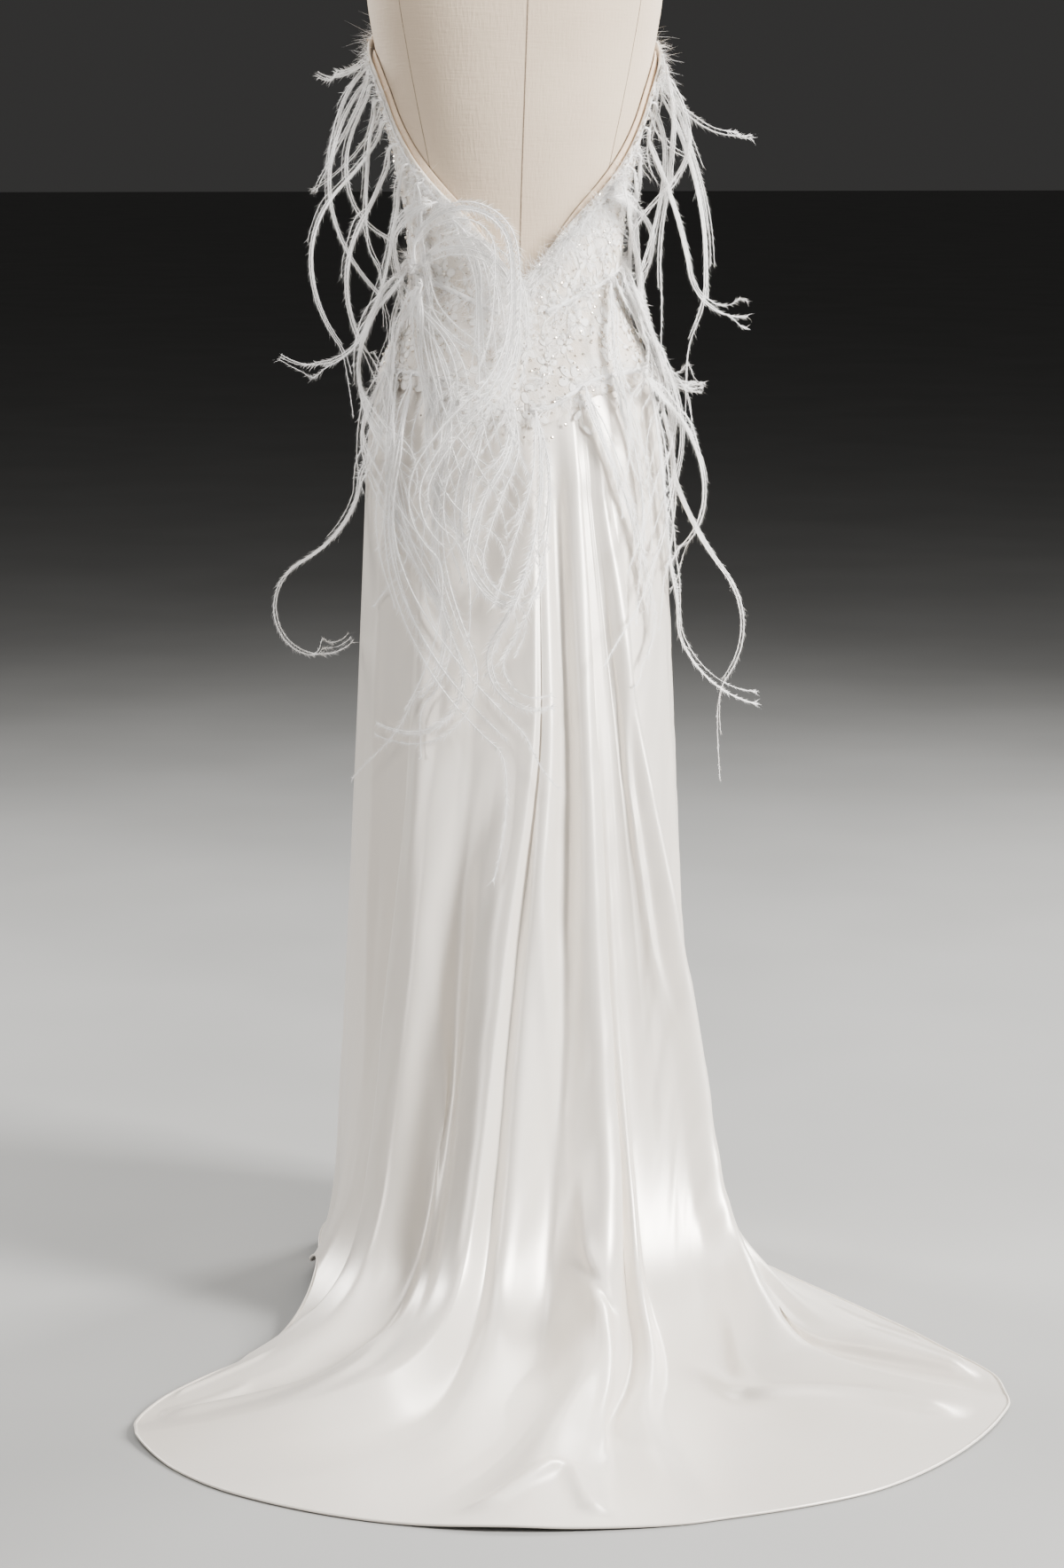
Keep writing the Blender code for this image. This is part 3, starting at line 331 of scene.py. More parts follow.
# Each named plume: root angle, then in its view's plane the heading that it leaves at (0 is right, 90 is
# up), its length in millimetres, its turn in each equal stretch, and its lift off the cloth in millimetres.
Plume = namedtuple("Plume", "root heading length turns lift")
PLUMES = {
    "plumes_edge_left": (
        Plume(-89.5, 190, 62, (25, -25, -45), 8),
        Plume(-86.5, 208, 95, (30, 15, 5), 10),
        Plume(-83.5, 230, 255, (22, 35, 28), 12),
        Plume(-80, 238, 185, (12, 35, 50), 10),
        Plume(-76.5, 246, 180, (20, 0, 35), 8),
        Plume(-73, 246, 268, (-22, 48, 35), 16),
        Plume(-69, 252, 270, (-12, 38, 35), 14),
        Plume(-64, 256, 290, (5, -20, -95), 20),
        Plume(-50, 175, 240, (100, 40, -50), 26),
        Plume(-42, 310, 275, (-40, 5, 22), 14),
        Plume(-36, 325, 230, (-45, -12, 10), 9),
    ),
    "plumes_edge_right": (
        Plume(52, 5, 150, (-50, -60, -60), 14),
        Plume(67, 275, 190, (-10, -5, 40), 8),
        Plume(72, 295, 250, (-5, -10, 85), 24),
        Plume(76, 305, 190, (-35, -15, -5), 12),
        Plume(80, 300, 280, (-12, -15, -25), 20),
        Plume(85, 315, 205, (-35, -55, 10), 14),
    ),
    "plumes_waist_left": (
        Plume(-89, 262, 530, (-3, -1, -10, -40, 92, 105), 12),
        Plume(-85, 215, 250, (35, 35, 40), 14),
        Plume(-81, 225, 220, (15, 40, 40), 22),
        Plume(-77, 110, 510, (-90, -102, -16, -39, 19, 78), 40),
        Plume(-73, 75, 260, (-80, -70, -20, -33), 30),
    ),
    "plumes_waist_right": (
        Plume(64, 300, 250, (5, -25, -30), 26),
        Plume(76, 290, 175, (-5, 15, 80), 12),
        Plume(85, 295, 330, (-8, -20, -25), 20),
    ),
    "plumes_basque_left": (
        Plume(-70, 240, 210, (20, 35, 20), 14),
        Plume(-62, 250, 355, (25, 28, -75), 10),
        Plume(-55, 252, 415, (12, 35, 20), 16),
        Plume(-42, 245, 195, (22, 20, 45), 10),
        Plume(-34, 258, 430, (6, 28, -130), 8),
        Plume(-25, 120, 75, (110, 90, 40), 12),
        Plume(-16, 238, 320, (24, 50, 190), 14),
        Plume(-5, 275, 230, (-38, 20, 80), 20),
    ),
    "plumes_basque_right": (
        Plume(5, 283, 368, (-25, -20, 140), 18),
        Plume(30, 288, 250, (5, -10, -5), 10),
        Plume(45, 288, 200, (0, -12, -10), 8),
        Plume(62, 318, 260, (-12, -40, -65), 16),
        Plume(70, 280, 415, (-5, 5, 65), 22),
        Plume(78, 276, 370, (12, 20, -75), 12),
    ),
}
FILL_LENGTHS = (0.13, 0.29)
FILL_LIFTS = (0.008, 0.024)
FILL_SEED = 7
PLUME_STEP = 0.004
ROOT_SECTIONS = (4, 12)
SECTION_BEND = 32
SECTION_LENGTH = 45
# A plume leaves its root straight out over the root run, then rises to its lift over the lift run
ROOT_RUN = 0.012
CLEAR_RUN = 0.010
LIFT_RUN = 0.022
LEAST_LIFT = 0.002
SMOOTH_REACH = 0.020
ROOT_CLEAR = 0.0019
FILL_FROM = 58
PLUME_CLEAR = 0.0060
PLUMES_APART = 0.0056
CHORD_STEP = 0.003
LIFT_STEP = 0.003
LIFT_REACH = 0.022
LIFT_TRIES = 40
BODY_HEIGHTS = np.arange(0.30, 1.45, 0.01)
SKIRT_HIGHEST = 0.98
BODY_ANGLES = np.arange(-180.0, 181.0, 2.0)


def clothed_body():
    """Distance from the axis to the cloth's outer face, over BODY_HEIGHTS and BODY_ANGLES."""
    shares = np.linspace(0, 0.8, 120)
    found = []
    for folds in (BACK_FOLDS, FRONT_FOLDS):
        columns = np.linspace(folds[0].angles[0], folds[-1].angles[0], 121)
        found.append(skirt_surface(folds, columns, shares))
    points = np.concatenate(found)
    body = np.empty((len(BODY_HEIGHTS), len(BODY_ANGLES)))
    for row, height in enumerate(BODY_HEIGHTS):
        level = np.array([
            [np.interp(-height, -line[:, 2], line[:, axis]) for axis in (0, 1)] for line in points
        ])
        angle = np.degrees(np.arctan2(-level[:, 0], level[:, 1]))
        order = np.argsort(angle)
        skirt = np.interp(BODY_ANGLES, angle[order], np.hypot(*level.T)[order], period=360) + WALL
        turned = np.radians(BODY_ANGLES)
        lace = form_radius(turned, height) + lace_ease(turned, height) + WALL
        clad = height > lace_bottom(turned) - 0.01
        body[row] = np.where(clad, np.maximum(lace, skirt * (height < SKIRT_HIGHEST)), skirt)
    return np.maximum(body, np.maximum(np.roll(body, 1, 1), np.roll(body, -1, 1)) - 0.004)


def body_radius(body, degrees, height):
    """The body's radius at any angle and height, between its samples."""
    row = np.clip((height - BODY_HEIGHTS[0]) / 0.01, 0, len(BODY_HEIGHTS) - 1.001)
    column = ((degrees + 180) % 360) / 2
    i, j = np.floor(row).astype(int), np.floor(column).astype(int)
    u, v = row - i, column - j
    low = body[i, j] * (1 - v) + body[i, j + 1] * v
    high = body[i + 1, j] * (1 - v) + body[i + 1, j + 1] * v
    return low * (1 - u) + high * u


def kept_clear(points, body, clear):
    """Move the points straight out from the axis where they come closer to the body than clear."""
    degrees = np.degrees(np.arctan2(-points[:, 0], points[:, 1]))
    radius = np.hypot(points[:, 0], points[:, 1])
    wanted = np.maximum(radius, body_radius(body, degrees, points[:, 2]) + clear)
    points[:, :2] *= (wanted / radius)[:, None]


def row_height(row, degrees):
    """Height of a sewn row of plumes at an angle from the back."""
    angle = np.radians(degrees)
    if row == "edge":
        return lace_top(angle) - EDGE_INSET
    if row == "basque":
        return lace_bottom(angle) + BASQUE_RISE
    return table_curve(WAIST_ROW, from_back(angle))


def strip_radius(degrees, height):
    """Distance from the axis to where the plumes leave the lace."""
    angle = np.radians(degrees)
    return form_radius(angle, height) + lace_ease(angle, height) + WALL + SEAM


def plume_steps(plume):
    return max(int(plume.length / 1000 / PLUME_STEP), 8)


def plume_path(strip, plume, body, humps):
    """Points of one plume: a curve drawn in its view's plane and laid over the body at its lift and humps."""
    steps = plume_steps(plume)
    share = np.linspace(0, 1, steps + 1)
    marks = np.linspace(0, 1, len(plume.turns) + 1)
    turned = np.interp(share, marks, np.concatenate([[0], np.cumsum(plume.turns)]))
    heading = np.radians(plume.heading + turned)
    away = share * plume.length / 1000
    pace = fade(away, 0, ROOT_RUN) * plume.length / 1000 / steps
    across = np.cumsum(np.cos(heading) * pace)
    rise = np.cumsum(np.sin(heading) * pace)
    root_height = row_height(strip.row, plume.root)
    root_radius = strip_radius(plume.root, root_height) + STRIP_WALL
    view = math.radians(strip.view)
    turn = math.radians(plume.root) - view
    across = across - across[0] + root_radius * math.sin(turn)
    height = rise - rise[0] + root_height
    depth = np.empty_like(across)
    fan = np.linspace(-90, 90, 61)
    for k in range(len(share)):
        ring = body_radius(body, strip.view + fan, np.full(fan.shape, height[k]))
        depth[k] = np.interp(across[k], ring * np.sin(np.radians(fan)), ring * np.cos(np.radians(fan)))
    lift = LEAST_LIFT + plume.lift / 1000 * (1 - np.exp(-away / LIFT_RUN)) + humps
    reach = max(int(SMOOTH_REACH / PLUME_STEP), 1)
    window = np.hanning(2 * reach + 3)[1:-1]
    padded = np.concatenate([np.full(reach, depth[0]), depth, np.full(reach, depth[-1])])
    depth = np.convolve(padded, window / window.sum(), "valid") + lift
    depth[0] = root_radius * math.cos(turn)
    side = np.array([-math.cos(view), -math.sin(view)])
    out = np.array([-math.sin(view), math.cos(view)])
    flat = across[:, None] * side + depth[:, None] * out
    points = np.column_stack([flat, height])
    clear = PLUME_CLEAR * fade(away, 0, CLEAR_RUN) + ROOT_CLEAR
    for _ in range(3):
        kept_clear(points, body, clear)
        middle = (points[:-2] + points[2:]) / 2
        points[2:-1] = points[2:-1] * 0.5 + middle[1:] * 0.5
    kept_clear(points, body, clear)
    normal = np.array([-math.sin(math.radians(plume.root)), math.cos(math.radians(plume.root)), 0])
    root = normal * root_radius + np.array([0, 0, root_height])
    start = fade(away, 0, ROOT_RUN)[:, None]
    return (root + normal * away[:, None]) * (1 - start) + points * start


def fill_plumes(strip, named, chance):
    """Plainer plumes for the free places of a strip, hanging with a soft bend and a curled tip."""
    taken = [plume.root for plume in named]
    places = [angle for angle in np.arange(strip.first + 3, strip.last - 2, 1.0)]
    chance.shuffle(places)
    added = []
    for angle in places:
        if len(added) == strip.fill:
            break
        if min((abs(angle - other) for other in taken), default=99) < ROOT_APART + 1:
            continue
        if strip.view == 0 and abs(angle) < FILL_FROM:
            continue
        taken.append(angle)
        outward = np.sign(math.sin(math.radians(angle - strip.view)))
        heading = 270 + outward * chance.uniform(4, 34)
        turns = (-outward * chance.uniform(0, 25), chance.uniform(-25, 25), chance.uniform(-75, 75))
        length = 1000 * chance.uniform(*FILL_LENGTHS)
        added.append(Plume(angle, heading, length, turns, 1000 * chance.uniform(*FILL_LIFTS)))
    return added


def all_plumes(body):
    """Every plume's strip and path. Where a plume would touch an earlier one, it humps over it."""
    chance = np.random.default_rng(FILL_SEED)
    laid = []
    taken = np.empty((0, 3))
    for strip in STRIPS:
        named = list(PLUMES.get(strip.name, ()))
        plumes = sorted(named + fill_plumes(strip, named, chance), key=lambda plume: plume.root)
        for plume in plumes:
            index = np.arange(plume_steps(plume) + 1)
            humps = np.zeros(len(index))
            for _ in range(LIFT_TRIES):
                path = plume_path(strip, plume, body, humps)
                chords, along = plume_chords(path, plume)
                gaps = np.linalg.norm(chords[:, None] - taken[None], axis=-1).min(axis=1, initial=1)
                nearest = int(np.argmin(gaps))
                if gaps[nearest] > PLUMES_APART:
                    laid.append((strip, plume, path))
                    taken = np.concatenate([taken, chords])
                    break
                humps += LIFT_STEP * np.exp(-(((index - along[nearest]) * PLUME_STEP / LIFT_REACH) ** 2))
    return laid


def plume_chords(path, plume):
    """Close points on the straight stretches between a plume's sections, and their index along the path."""
    index = plume_sections(path, plume)
    lengths = np.linalg.norm(np.diff(path[index], axis=0), axis=1)
    reached = np.concatenate([[0], np.cumsum(lengths)])
    at = np.append(np.arange(0, reached[-1], CHORD_STEP), reached[-1])
    points = [np.interp(at, reached, path[index, axis]) for axis in range(3)]
    return np.stack(points, axis=-1), np.interp(at, reached, index)


def plume_sections(path, plume):
    """Indices of the path's points that carry a section: closer together where the plume curls."""
    stretches = len(plume.turns)
    bend = np.abs(np.array(plume.turns)) / SECTION_BEND + plume.length / stretches / SECTION_LENGTH
    counts = np.maximum(np.round(bend).astype(int), 1)
    marks = [0.0, *(away / plume.length for away in ROOT_SECTIONS)]
    for k, count in enumerate(counts):
        start = marks[-1] if k == 0 else k / stretches
        marks.extend(np.linspace(start, (k + 1) / stretches, count + 1)[1:])
    index = np.round(np.array(marks) * (len(path) - 1)).astype(int)
    return np.unique(index)


# Meshes

def linked(name, data):
    """A new object in the scene."""
    made = bpy.data.objects.new(name, data)
    bpy.context.scene.collection.objects.link(made)
    return made


def thicken(piece, thickness):
    wall = piece.modifiers.new("Wall", "SOLIDIFY")
    wall.thickness = thickness
    wall.offset = 1


def add_piece(name, points, faces, finish, smooth=True):
    """A mesh object from points and faces, with its finish, riding on the part's one body."""
    mesh = bpy.data.meshes.new(name)
    mesh.from_pydata(np.asarray(points).tolist(), [], [list(face) for face in faces])
    if smooth:
        mesh.shade_smooth()
    mesh.materials.append(finish)
    piece = linked(name, mesh)
    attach(piece, "root")
    return piece


def grid_faces(columns, rows, closed=False):
    """Quads of a grid whose points run down each column in turn."""
    last = columns if closed else columns - 1
    i, j = np.meshgrid(np.arange(last), np.arange(rows - 1), indexing="ij")
    near, far = i * rows + j, (i + 1) % columns * rows + j
    return np.stack([near, near + 1, far + 1, far], -1).reshape(-1, 4)


def unit(vectors):
    return vectors / np.maximum(np.linalg.norm(vectors, axis=-1, keepdims=True), 1e-9)


def tube(path, radius, sides=6, closed=False):
    """Points and faces of a round tube along a path, with flat ends where it isn't closed."""
    path = np.asarray(path, float)
    count = len(path)
    if closed:
        toward = np.roll(path, -1, 0) - np.roll(path, 1, 0)
    else:
        toward = np.gradient(path, axis=0)
    toward = unit(toward)
    across = np.empty_like(path)
    guide = np.array([0.0, 0.0, 1.0]) if abs(toward[0, 2]) < 0.9 else np.array([1.0, 0.0, 0.0])
    for k in range(count):
        guide = guide - toward[k] * (guide @ toward[k])
        guide /= np.linalg.norm(guide)
        across[k] = guide
    beside = np.cross(toward, across)
    turn = np.arange(sides) * 2 * math.pi / sides
    radius = np.broadcast_to(radius, (count,))[:, None, None]
    ring = across[:, None] * np.cos(turn)[None, :, None] + beside[:, None] * np.sin(turn)[None, :, None]
    points = (path[:, None] + ring * radius).reshape(-1, 3)
    faces = []
    for k in range(count if closed else count - 1):
        for i in range(sides):
            j = (i + 1) % sides
            after = (k + 1) % count
            faces.append((k * sides + i, k * sides + j, after * sides + j, after * sides + i))
    if not closed:
        faces.append(tuple(range(sides))[::-1])
        faces.append(tuple((count - 1) * sides + i for i in range(sides)))
    return points, faces


class Heap:
    """Many small shapes gathered into one mesh."""

    def __init__(self):
        self.points = []
        self.faces = []
        self.count = 0

    def add(self, points, faces):
        points = np.asarray(points, float)
        self.points.append(points)
        self.faces.extend(tuple(index + self.count for index in face) for face in faces)
        self.count += len(points)

    def add_many(self, points, faces):
        """points is (copies, corners, 3), and every copy has the same faces."""
        copies, corners = points.shape[:2]
        start = self.count + np.arange(copies) * corners
        self.points.append(points.reshape(-1, 3))
        for face in faces:
            self.faces.extend(map(tuple, (start[:, None] + np.array(face)[None]).tolist()))
        self.count += copies * corners

    def piece(self, name, finish, slot, smooth=True):
        return add_piece(name, np.concatenate(self.points), self.faces, finish, smooth)


def add_ribbons(heap, curves, sides, width):
    """Flat tapering hairs: curves is (hairs, points, 3), sides their flat direction, width at the root."""
    hairs, steps = curves.shape[:2]
    taper = width * (1 - 0.75 * np.linspace(0, 1, steps))[None, :, None]
    left = curves - sides[:, None] * taper / 2
    right = curves + sides[:, None] * taper / 2
    body = np.stack([left[:, :-1], right[:, :-1]], axis=2).reshape(hairs, -1, 3)
    points = np.concatenate([body, curves[:, -1:]], axis=1)
    faces = [(2 * k, 2 * k + 1, 2 * k + 3, 2 * k + 2) for k in range(steps - 2)]
    faces.append((2 * steps - 4, 2 * steps - 3, 2 * steps - 2))
    heap.add_many(points, faces)


# Finishes

class Finish:
    """A Principled material and the textures that vary it. Extras are the shader's own values."""

    def __init__(self, name, colour, roughness, metallic=0.0, **extras):
        self.material = bpy.data.materials.new(name)
        self.material.use_nodes = True
        self.nodes = self.material.node_tree.nodes
        self.link = self.material.node_tree.links.new
        self.shader = self.nodes["Principled BSDF"].inputs
        self.shader["Base Color"].default_value = (*colour, 1)
        self.shader["Roughness"].default_value = roughness
        self.shader["Metallic"].default_value = metallic
        for socket, value in extras.items():
            self.shader[socket.replace("_", " ")].default_value = value

    def noise(self, scale, detail, stretch=(1, 1, 1), where="Object"):
        """A noise texture in object or UV space, stretched along an axis."""
        coordinates = self.nodes.new("ShaderNodeTexCoord")
        mapping = self.nodes.new("ShaderNodeMapping")
        mapping.inputs["Scale"].default_value = stretch
        self.link(coordinates.outputs[where], mapping.inputs["Vector"])
        texture = self.nodes.new("ShaderNodeTexNoise")
        texture.inputs["Scale"].default_value = scale
        texture.inputs["Detail"].default_value = detail
        self.link(mapping.outputs["Vector"], texture.inputs["Vector"])
        return texture.outputs["Fac"]

    def colour(self, texture, low, high):
        """Let the colour run between two, by a texture."""
        ramp = self.nodes.new("ShaderNodeValToRGB")
        for stop, position, shade in zip(ramp.color_ramp.elements, (0.3, 0.7), (low, high)):
            stop.position = position
            stop.color = (*shade, 1)
        self.link(texture, ramp.inputs["Fac"])
        self.link(ramp.outputs["Color"], self.shader["Base Color"])

    def roughness(self, texture, low, high):
        """Let the roughness run between two values, by a texture."""
        spread = self.nodes.new("ShaderNodeMapRange")
        spread.inputs["To Min"].default_value = low
        spread.inputs["To Max"].default_value = high
        self.link(texture, spread.inputs["Value"])
        self.link(spread.outputs["Result"], self.shader["Roughness"])

    def bump(self, distance, *heights):
        """Bump nodes in a chain, one for each (texture, strength)."""
        last = None
        for height, strength in heights:
            bump = self.nodes.new("ShaderNodeBump")
            bump.inputs["Strength"].default_value = strength
            bump.inputs["Distance"].default_value = distance
            self.link(height, bump.inputs["Height"])
            if last is not None:
                self.link(last, bump.inputs["Normal"])
            last = bump.outputs["Normal"]
        self.link(last, self.shader["Normal"])


def satin_finish():
    satin = Finish("satin", (0.82, 0.77, 0.71), 0.36, 0.22,
                   Anisotropic=0.4, Specular_IOR_Level=0.8, Sheen_Weight=0.05)
    satin.colour(satin.noise(3.0, 2.0, (1, 1, 0.4)), (0.80, 0.745, 0.68), (0.85, 0.81, 0.755))
    satin.roughness(satin.noise(60.0, 3.0, (1, 0.15, 1), "UV"), 0.33, 0.40)
    crepe = satin.noise(1500.0, 2.0, (1, 0.5, 1), "UV")
    ripple = satin.noise(14.0, 2.0, (1, 0.35, 1), "UV")
    satin.bump(0.002, (ripple, 0.05), (crepe, 0.05))
    return satin.material


def lace_finish():
    lace = Finish("lace", (0.87, 0.84, 0.79), 0.55, Sheen_Weight=0.3, Sheen_Roughness=0.5)
    patch = lace.noise(45.0, 4.0)
    lace.colour(patch, (0.66, 0.58, 0.49), (0.86, 0.83, 0.79))
    lace.roughness(patch, 0.65, 0.45)
    lace.bump(0.001, (patch, 0.5), (lace.noise(700.0, 1.0), 0.4))
    return lace.material


def cord_finish():
    cord = Finish("lace_cord", (0.91, 0.89, 0.86), 0.5, Sheen_Weight=0.3)
    twist = cord.noise(900.0, 2.0)
    cord.colour(twist, (0.86, 0.83, 0.79), (0.94, 0.925, 0.90))
    cord.bump(0.0005, (twist, 0.4))
    return cord.material


def bead_finish():
    bead = Finish("bead", (0.83, 0.76, 0.66), 0.12,
                  Specular_IOR_Level=0.8, Coat_Weight=0.8, Coat_Roughness=0.05)
    tint = bead.noise(160.0, 1.0)
    bead.colour(tint, (0.60, 0.49, 0.37), (0.93, 0.90, 0.85))
    bead.roughness(tint, 0.08, 0.22)
    return bead.material


def sequin_finish():
    sequin = Finish("sequin", (0.88, 0.82, 0.74), 0.16, 0.75)
    tint = sequin.noise(120.0, 1.0)
    sequin.colour(tint, (0.72, 0.62, 0.50), (0.95, 0.92, 0.88))
    sequin.roughness(tint, 0.10, 0.24)
    return sequin.material


def plume_finish():
    plume = Finish("ostrich_plume", (0.94, 0.93, 0.92), 0.6, Sheen_Weight=0.4, Sheen_Roughness=0.35)
    tint = plume.noise(25.0, 2.0)
    plume.colour(tint, (0.90, 0.885, 0.87), (0.96, 0.955, 0.95))
    plume.roughness(tint, 0.5, 0.7)
    return plume.material


def linen_finish():
    linen = Finish("linen", (0.60, 0.49, 0.38), 0.88, Sheen_Weight=0.2, Sheen_Roughness=0.6)
    slub = linen.noise(420.0, 2.0, (1, 1, 0.12))
    cross = linen.noise(420.0, 2.0, (0.12, 0.12, 1))
    linen.colour(linen.noise(9.0, 5.0), (0.57, 0.465, 0.36), (0.63, 0.52, 0.405))
    linen.roughness(slub, 0.8, 0.95)
    linen.bump(0.0008, (slub, 0.5), (cross, 0.5))
    return linen.material


def thread_finish():
    thread = Finish("seam_thread", (0.30, 0.24, 0.19), 0.8)
    thread.colour(thread.noise(500.0, 2.0), (0.22, 0.17, 0.13), (0.40, 0.33, 0.26))
    return thread.material


def lining_finish():
    lining = Finish("nude_lining", (0.70, 0.56, 0.42), 0.7, Sheen_Weight=0.2)
    knit = lining.noise(900.0, 2.0)
    lining.colour(knit, (0.64, 0.50, 0.37), (0.75, 0.61, 0.47))
    lining.bump(0.0005, (knit, 0.4))
    return lining.material


def steel_finish():
    steel = Finish("stand_steel", (0.05, 0.05, 0.055), 0.35, 0.6)
    grain = steel.noise(220.0, 3.0)
    steel.colour(grain, (0.04, 0.04, 0.045), (0.07, 0.07, 0.075))
    steel.roughness(grain, 0.28, 0.45)
    steel.bump(0.0005, (grain, 0.15))
    return steel.material


# Satin skirt

FINE_COLUMNS = 8
BACK_FINE_ROWS = ((0.0, 0.54, 80), (0.54, 0.90, 92), (0.90, 1.0, 44))
FRONT_FINE_ROWS = ((0.0, 1.0, 112),)
HEM_RADIUS = 0.0016
FLOOR_CLEAR = 0.0012
CREASE_ENDS = 0.35
# Ripples fade out over these degrees from a seam, and the sheet turns square to the seam over those
RIPPLE_FREE = 6.0
SEAM_TURN = 4.0
# Each crease: its line as (share of the way down, angle at the waist), its width on its left and right and
# its height in millimetres (less than 0 is a trough), and how softly it starts and ends.
Crease = namedtuple("Crease", "name line width height fades")
BACK_CREASES = (
    Crease("pleat_left", ((0.02, 8), (0.15, 6), (0.28, 7), (0.40, 11), (0.54, 15), (0.62, 18)),
           (12, 12), 5.0, (0.3, 1)),
    Crease("pleat_trough", ((0.03, 15), (0.16, 14), (0.30, 13), (0.45, 15)), (11, 11), -4.0, (0.4, 1)),
    Crease("pleat_right", ((0.02, 24), (0.16, 22), (0.35, 19), (0.52, 18.5)), (12, 12), 4.5, (0.3, 1)),
    Crease("edge_pleat", ((0.07, 39), (0.21, 33), (0.31, 30), (0.41, 30), (0.52, 31.5)),
           (16, 6), 5.0, (0.5, 0.8)),
    Crease("buckle", ((0.605, 18), (0.64, 20), (0.68, 23)), (9, 7), -6.0, (1, 1)),
    Crease("drop_ridge", ((0.54, 18), (0.61, 19), (0.68, 21), (0.82, 24), (0.90, 24.5)),
           (9, 8), 7.0, (1, 0.4)),
    Crease("fork_left", ((0.905, 22.3), (0.94, 20.6), (0.985, 18.6)), (14, 11), 6.0, (0.6, 0.6)),
    Crease("fork_right", ((0.905, 22.6), (0.94, 23.4), (0.985, 24.4)), (11, 14), 6.0, (0.6, 0.6)),
    Crease("long_fold", ((0.30, -12), (0.42, -10), (0.56, -9), (0.66, -6), (0.76, -3)),
           (20, 12), 4.5, (1, 1)),
    Crease("left_ridge", ((0.42, -28), (0.56, -21), (0.66, -15), (0.76, -10), (0.86, -4), (0.95, 5)),
           (22, 12), 8.0, (1, 0.7)),
    Crease("left_trough", ((0.34, -20), (0.50, -17), (0.64, -11)), (16, 18), -4.0, (1, 1)),
    Crease("floor_roll", ((0.73, -14), (0.80, -12), (0.86, -12), (0.92, -11), (0.985, -12)),
           (24, 16), 9.0, (0.8, 0.3)),
    Crease("floor_ridge_far", ((0.70, 33), (0.80, 38), (0.88, 41), (0.94, 43), (0.985, 44)),
           (13, 20), 8.0, (0.7, 0.3)),
    Crease("floor_ridge_near", ((0.72, 27.5), (0.86, 30), (0.93, 31), (0.985, 30.5)),
           (13, 20), 8.0, (0.7, 0.3)),
    Crease("floor_dip", ((0.74, 22), (0.84, 25), (0.92, 27)), (18, 18), -3.5, (1, 1)),
    Crease("left_tip_one", ((0.88, -33), (0.93, -32), (0.985, -30)), (10, 10), 3.0, (0.8, 0.2)),
    Crease("left_tip_two", ((0.90, -24), (0.94, -22), (0.985, -20)), (10, 10), 2.6, (0.8, 0.2)),
    Crease("left_tip_three", ((0.86, -41), (0.92, -42), (0.975, -42)), (9, 12), 2.6, (0.8, 0.2)),
    Crease("right_tip_one", ((0.88, 52), (0.93, 51), (0.985, 50)), (10, 10), 3.0, (0.8, 0.2)),
    Crease("right_tip_two", ((0.90, 60), (0.94, 59), (0.985, 58)), (10, 10), 2.4, (0.8, 0.2)),
    Crease("hip_left", ((0.03, -44), (0.18, -41), (0.34, -36), (0.5, -33)), (16, 20), 3.6, (0.5, 1)),
    Crease("side_left", ((0.10, -66), (0.30, -64), (0.55, -60), (0.80, -58)), (20, 15), 4.5, (1, 1)),
    Crease("side_right", ((0.12, 62), (0.30, 60), (0.52, 57), (0.78, 60)), (18, 20), 4.5, (1, 1)),
)
FRONT_CREASES = (
    Crease("hang_one", ((0.04, 112), (0.35, 114), (0.70, 117), (0.95, 118)), (18, 22), 5.0, (0.6, 0.5)),
    Crease("hang_two", ((0.10, 141), (0.40, 139), (0.75, 142), (0.98, 143)), (22, 16), 4.2, (1, 0.4)),
    Crease("hang_three", ((0.02, 172), (0.30, 173), (0.66, 177), (0.92, 178)),
           (16, 20), 4.8, (0.4, 0.8)),
    Crease("hang_four", ((0.14, 207), (0.45, 204), (0.78, 203), (0.97, 205)), (22, 18), 4.4, (1, 0.4)),
    Crease("hang_five", ((0.05, 239), (0.34, 237), (0.62, 233), (0.90, 231)), (18, 22), 5.2, (0.6, 0.7)),
)
Ripple = namedtuple("Ripple", "across down phase height")
RIPPLES = (
    Ripple(0.085, 0.90, 0.3, 0.0004),
    Ripple(0.052, 0.55, 2.1, 0.0002),
    Ripple(0.031, 0.37, 4.4, 0.0001),
)


def fine_columns(folds):
    columns = []
    for fold, following in zip(folds, folds[1:]):
        steps = fold.steps * FINE_COLUMNS
        columns.extend(np.linspace(fold.angles[0], following.angles[0], steps, endpoint=False))
    columns.append(folds[-1].angles[0])
    return np.array(columns, float)


def fine_shares(rows):
    shares = [0.0]
    for start, end, steps in rows:
        shares.extend(np.linspace(start, end, steps + 1)[1:])
    return np.array(shares)


def crease_heights(creases, columns, shares, pace):
    """Height of the creases over the grid. pace is how many metres a degree of starting angle spans."""
    height = np.zeros((len(columns), len(shares)))
    for crease in creases:
        along = [point[0] for point in crease.line]
        centre = smooth_curve(shares, along, [point[1] for point in crease.line])
        aside = (columns[:, None] - centre[None]) * pace
        left = crease.width[0] / 1000
        right = crease.width[1] / 1000
        spread = np.where(aside < 0, left, right)
        ends = CREASE_ENDS * (along[-1] - along[0])
        length = fade(shares, along[0], along[0] + ends * crease.fades[0])
        length = length * (1 - fade(shares, along[-1] - ends * crease.fades[1], along[-1]))
        inside = (shares >= along[0]) & (shares <= along[-1])
        height += crease.height / 1000 * np.exp(-((aside / spread) ** 2)) * (length * inside)[None]
    return height


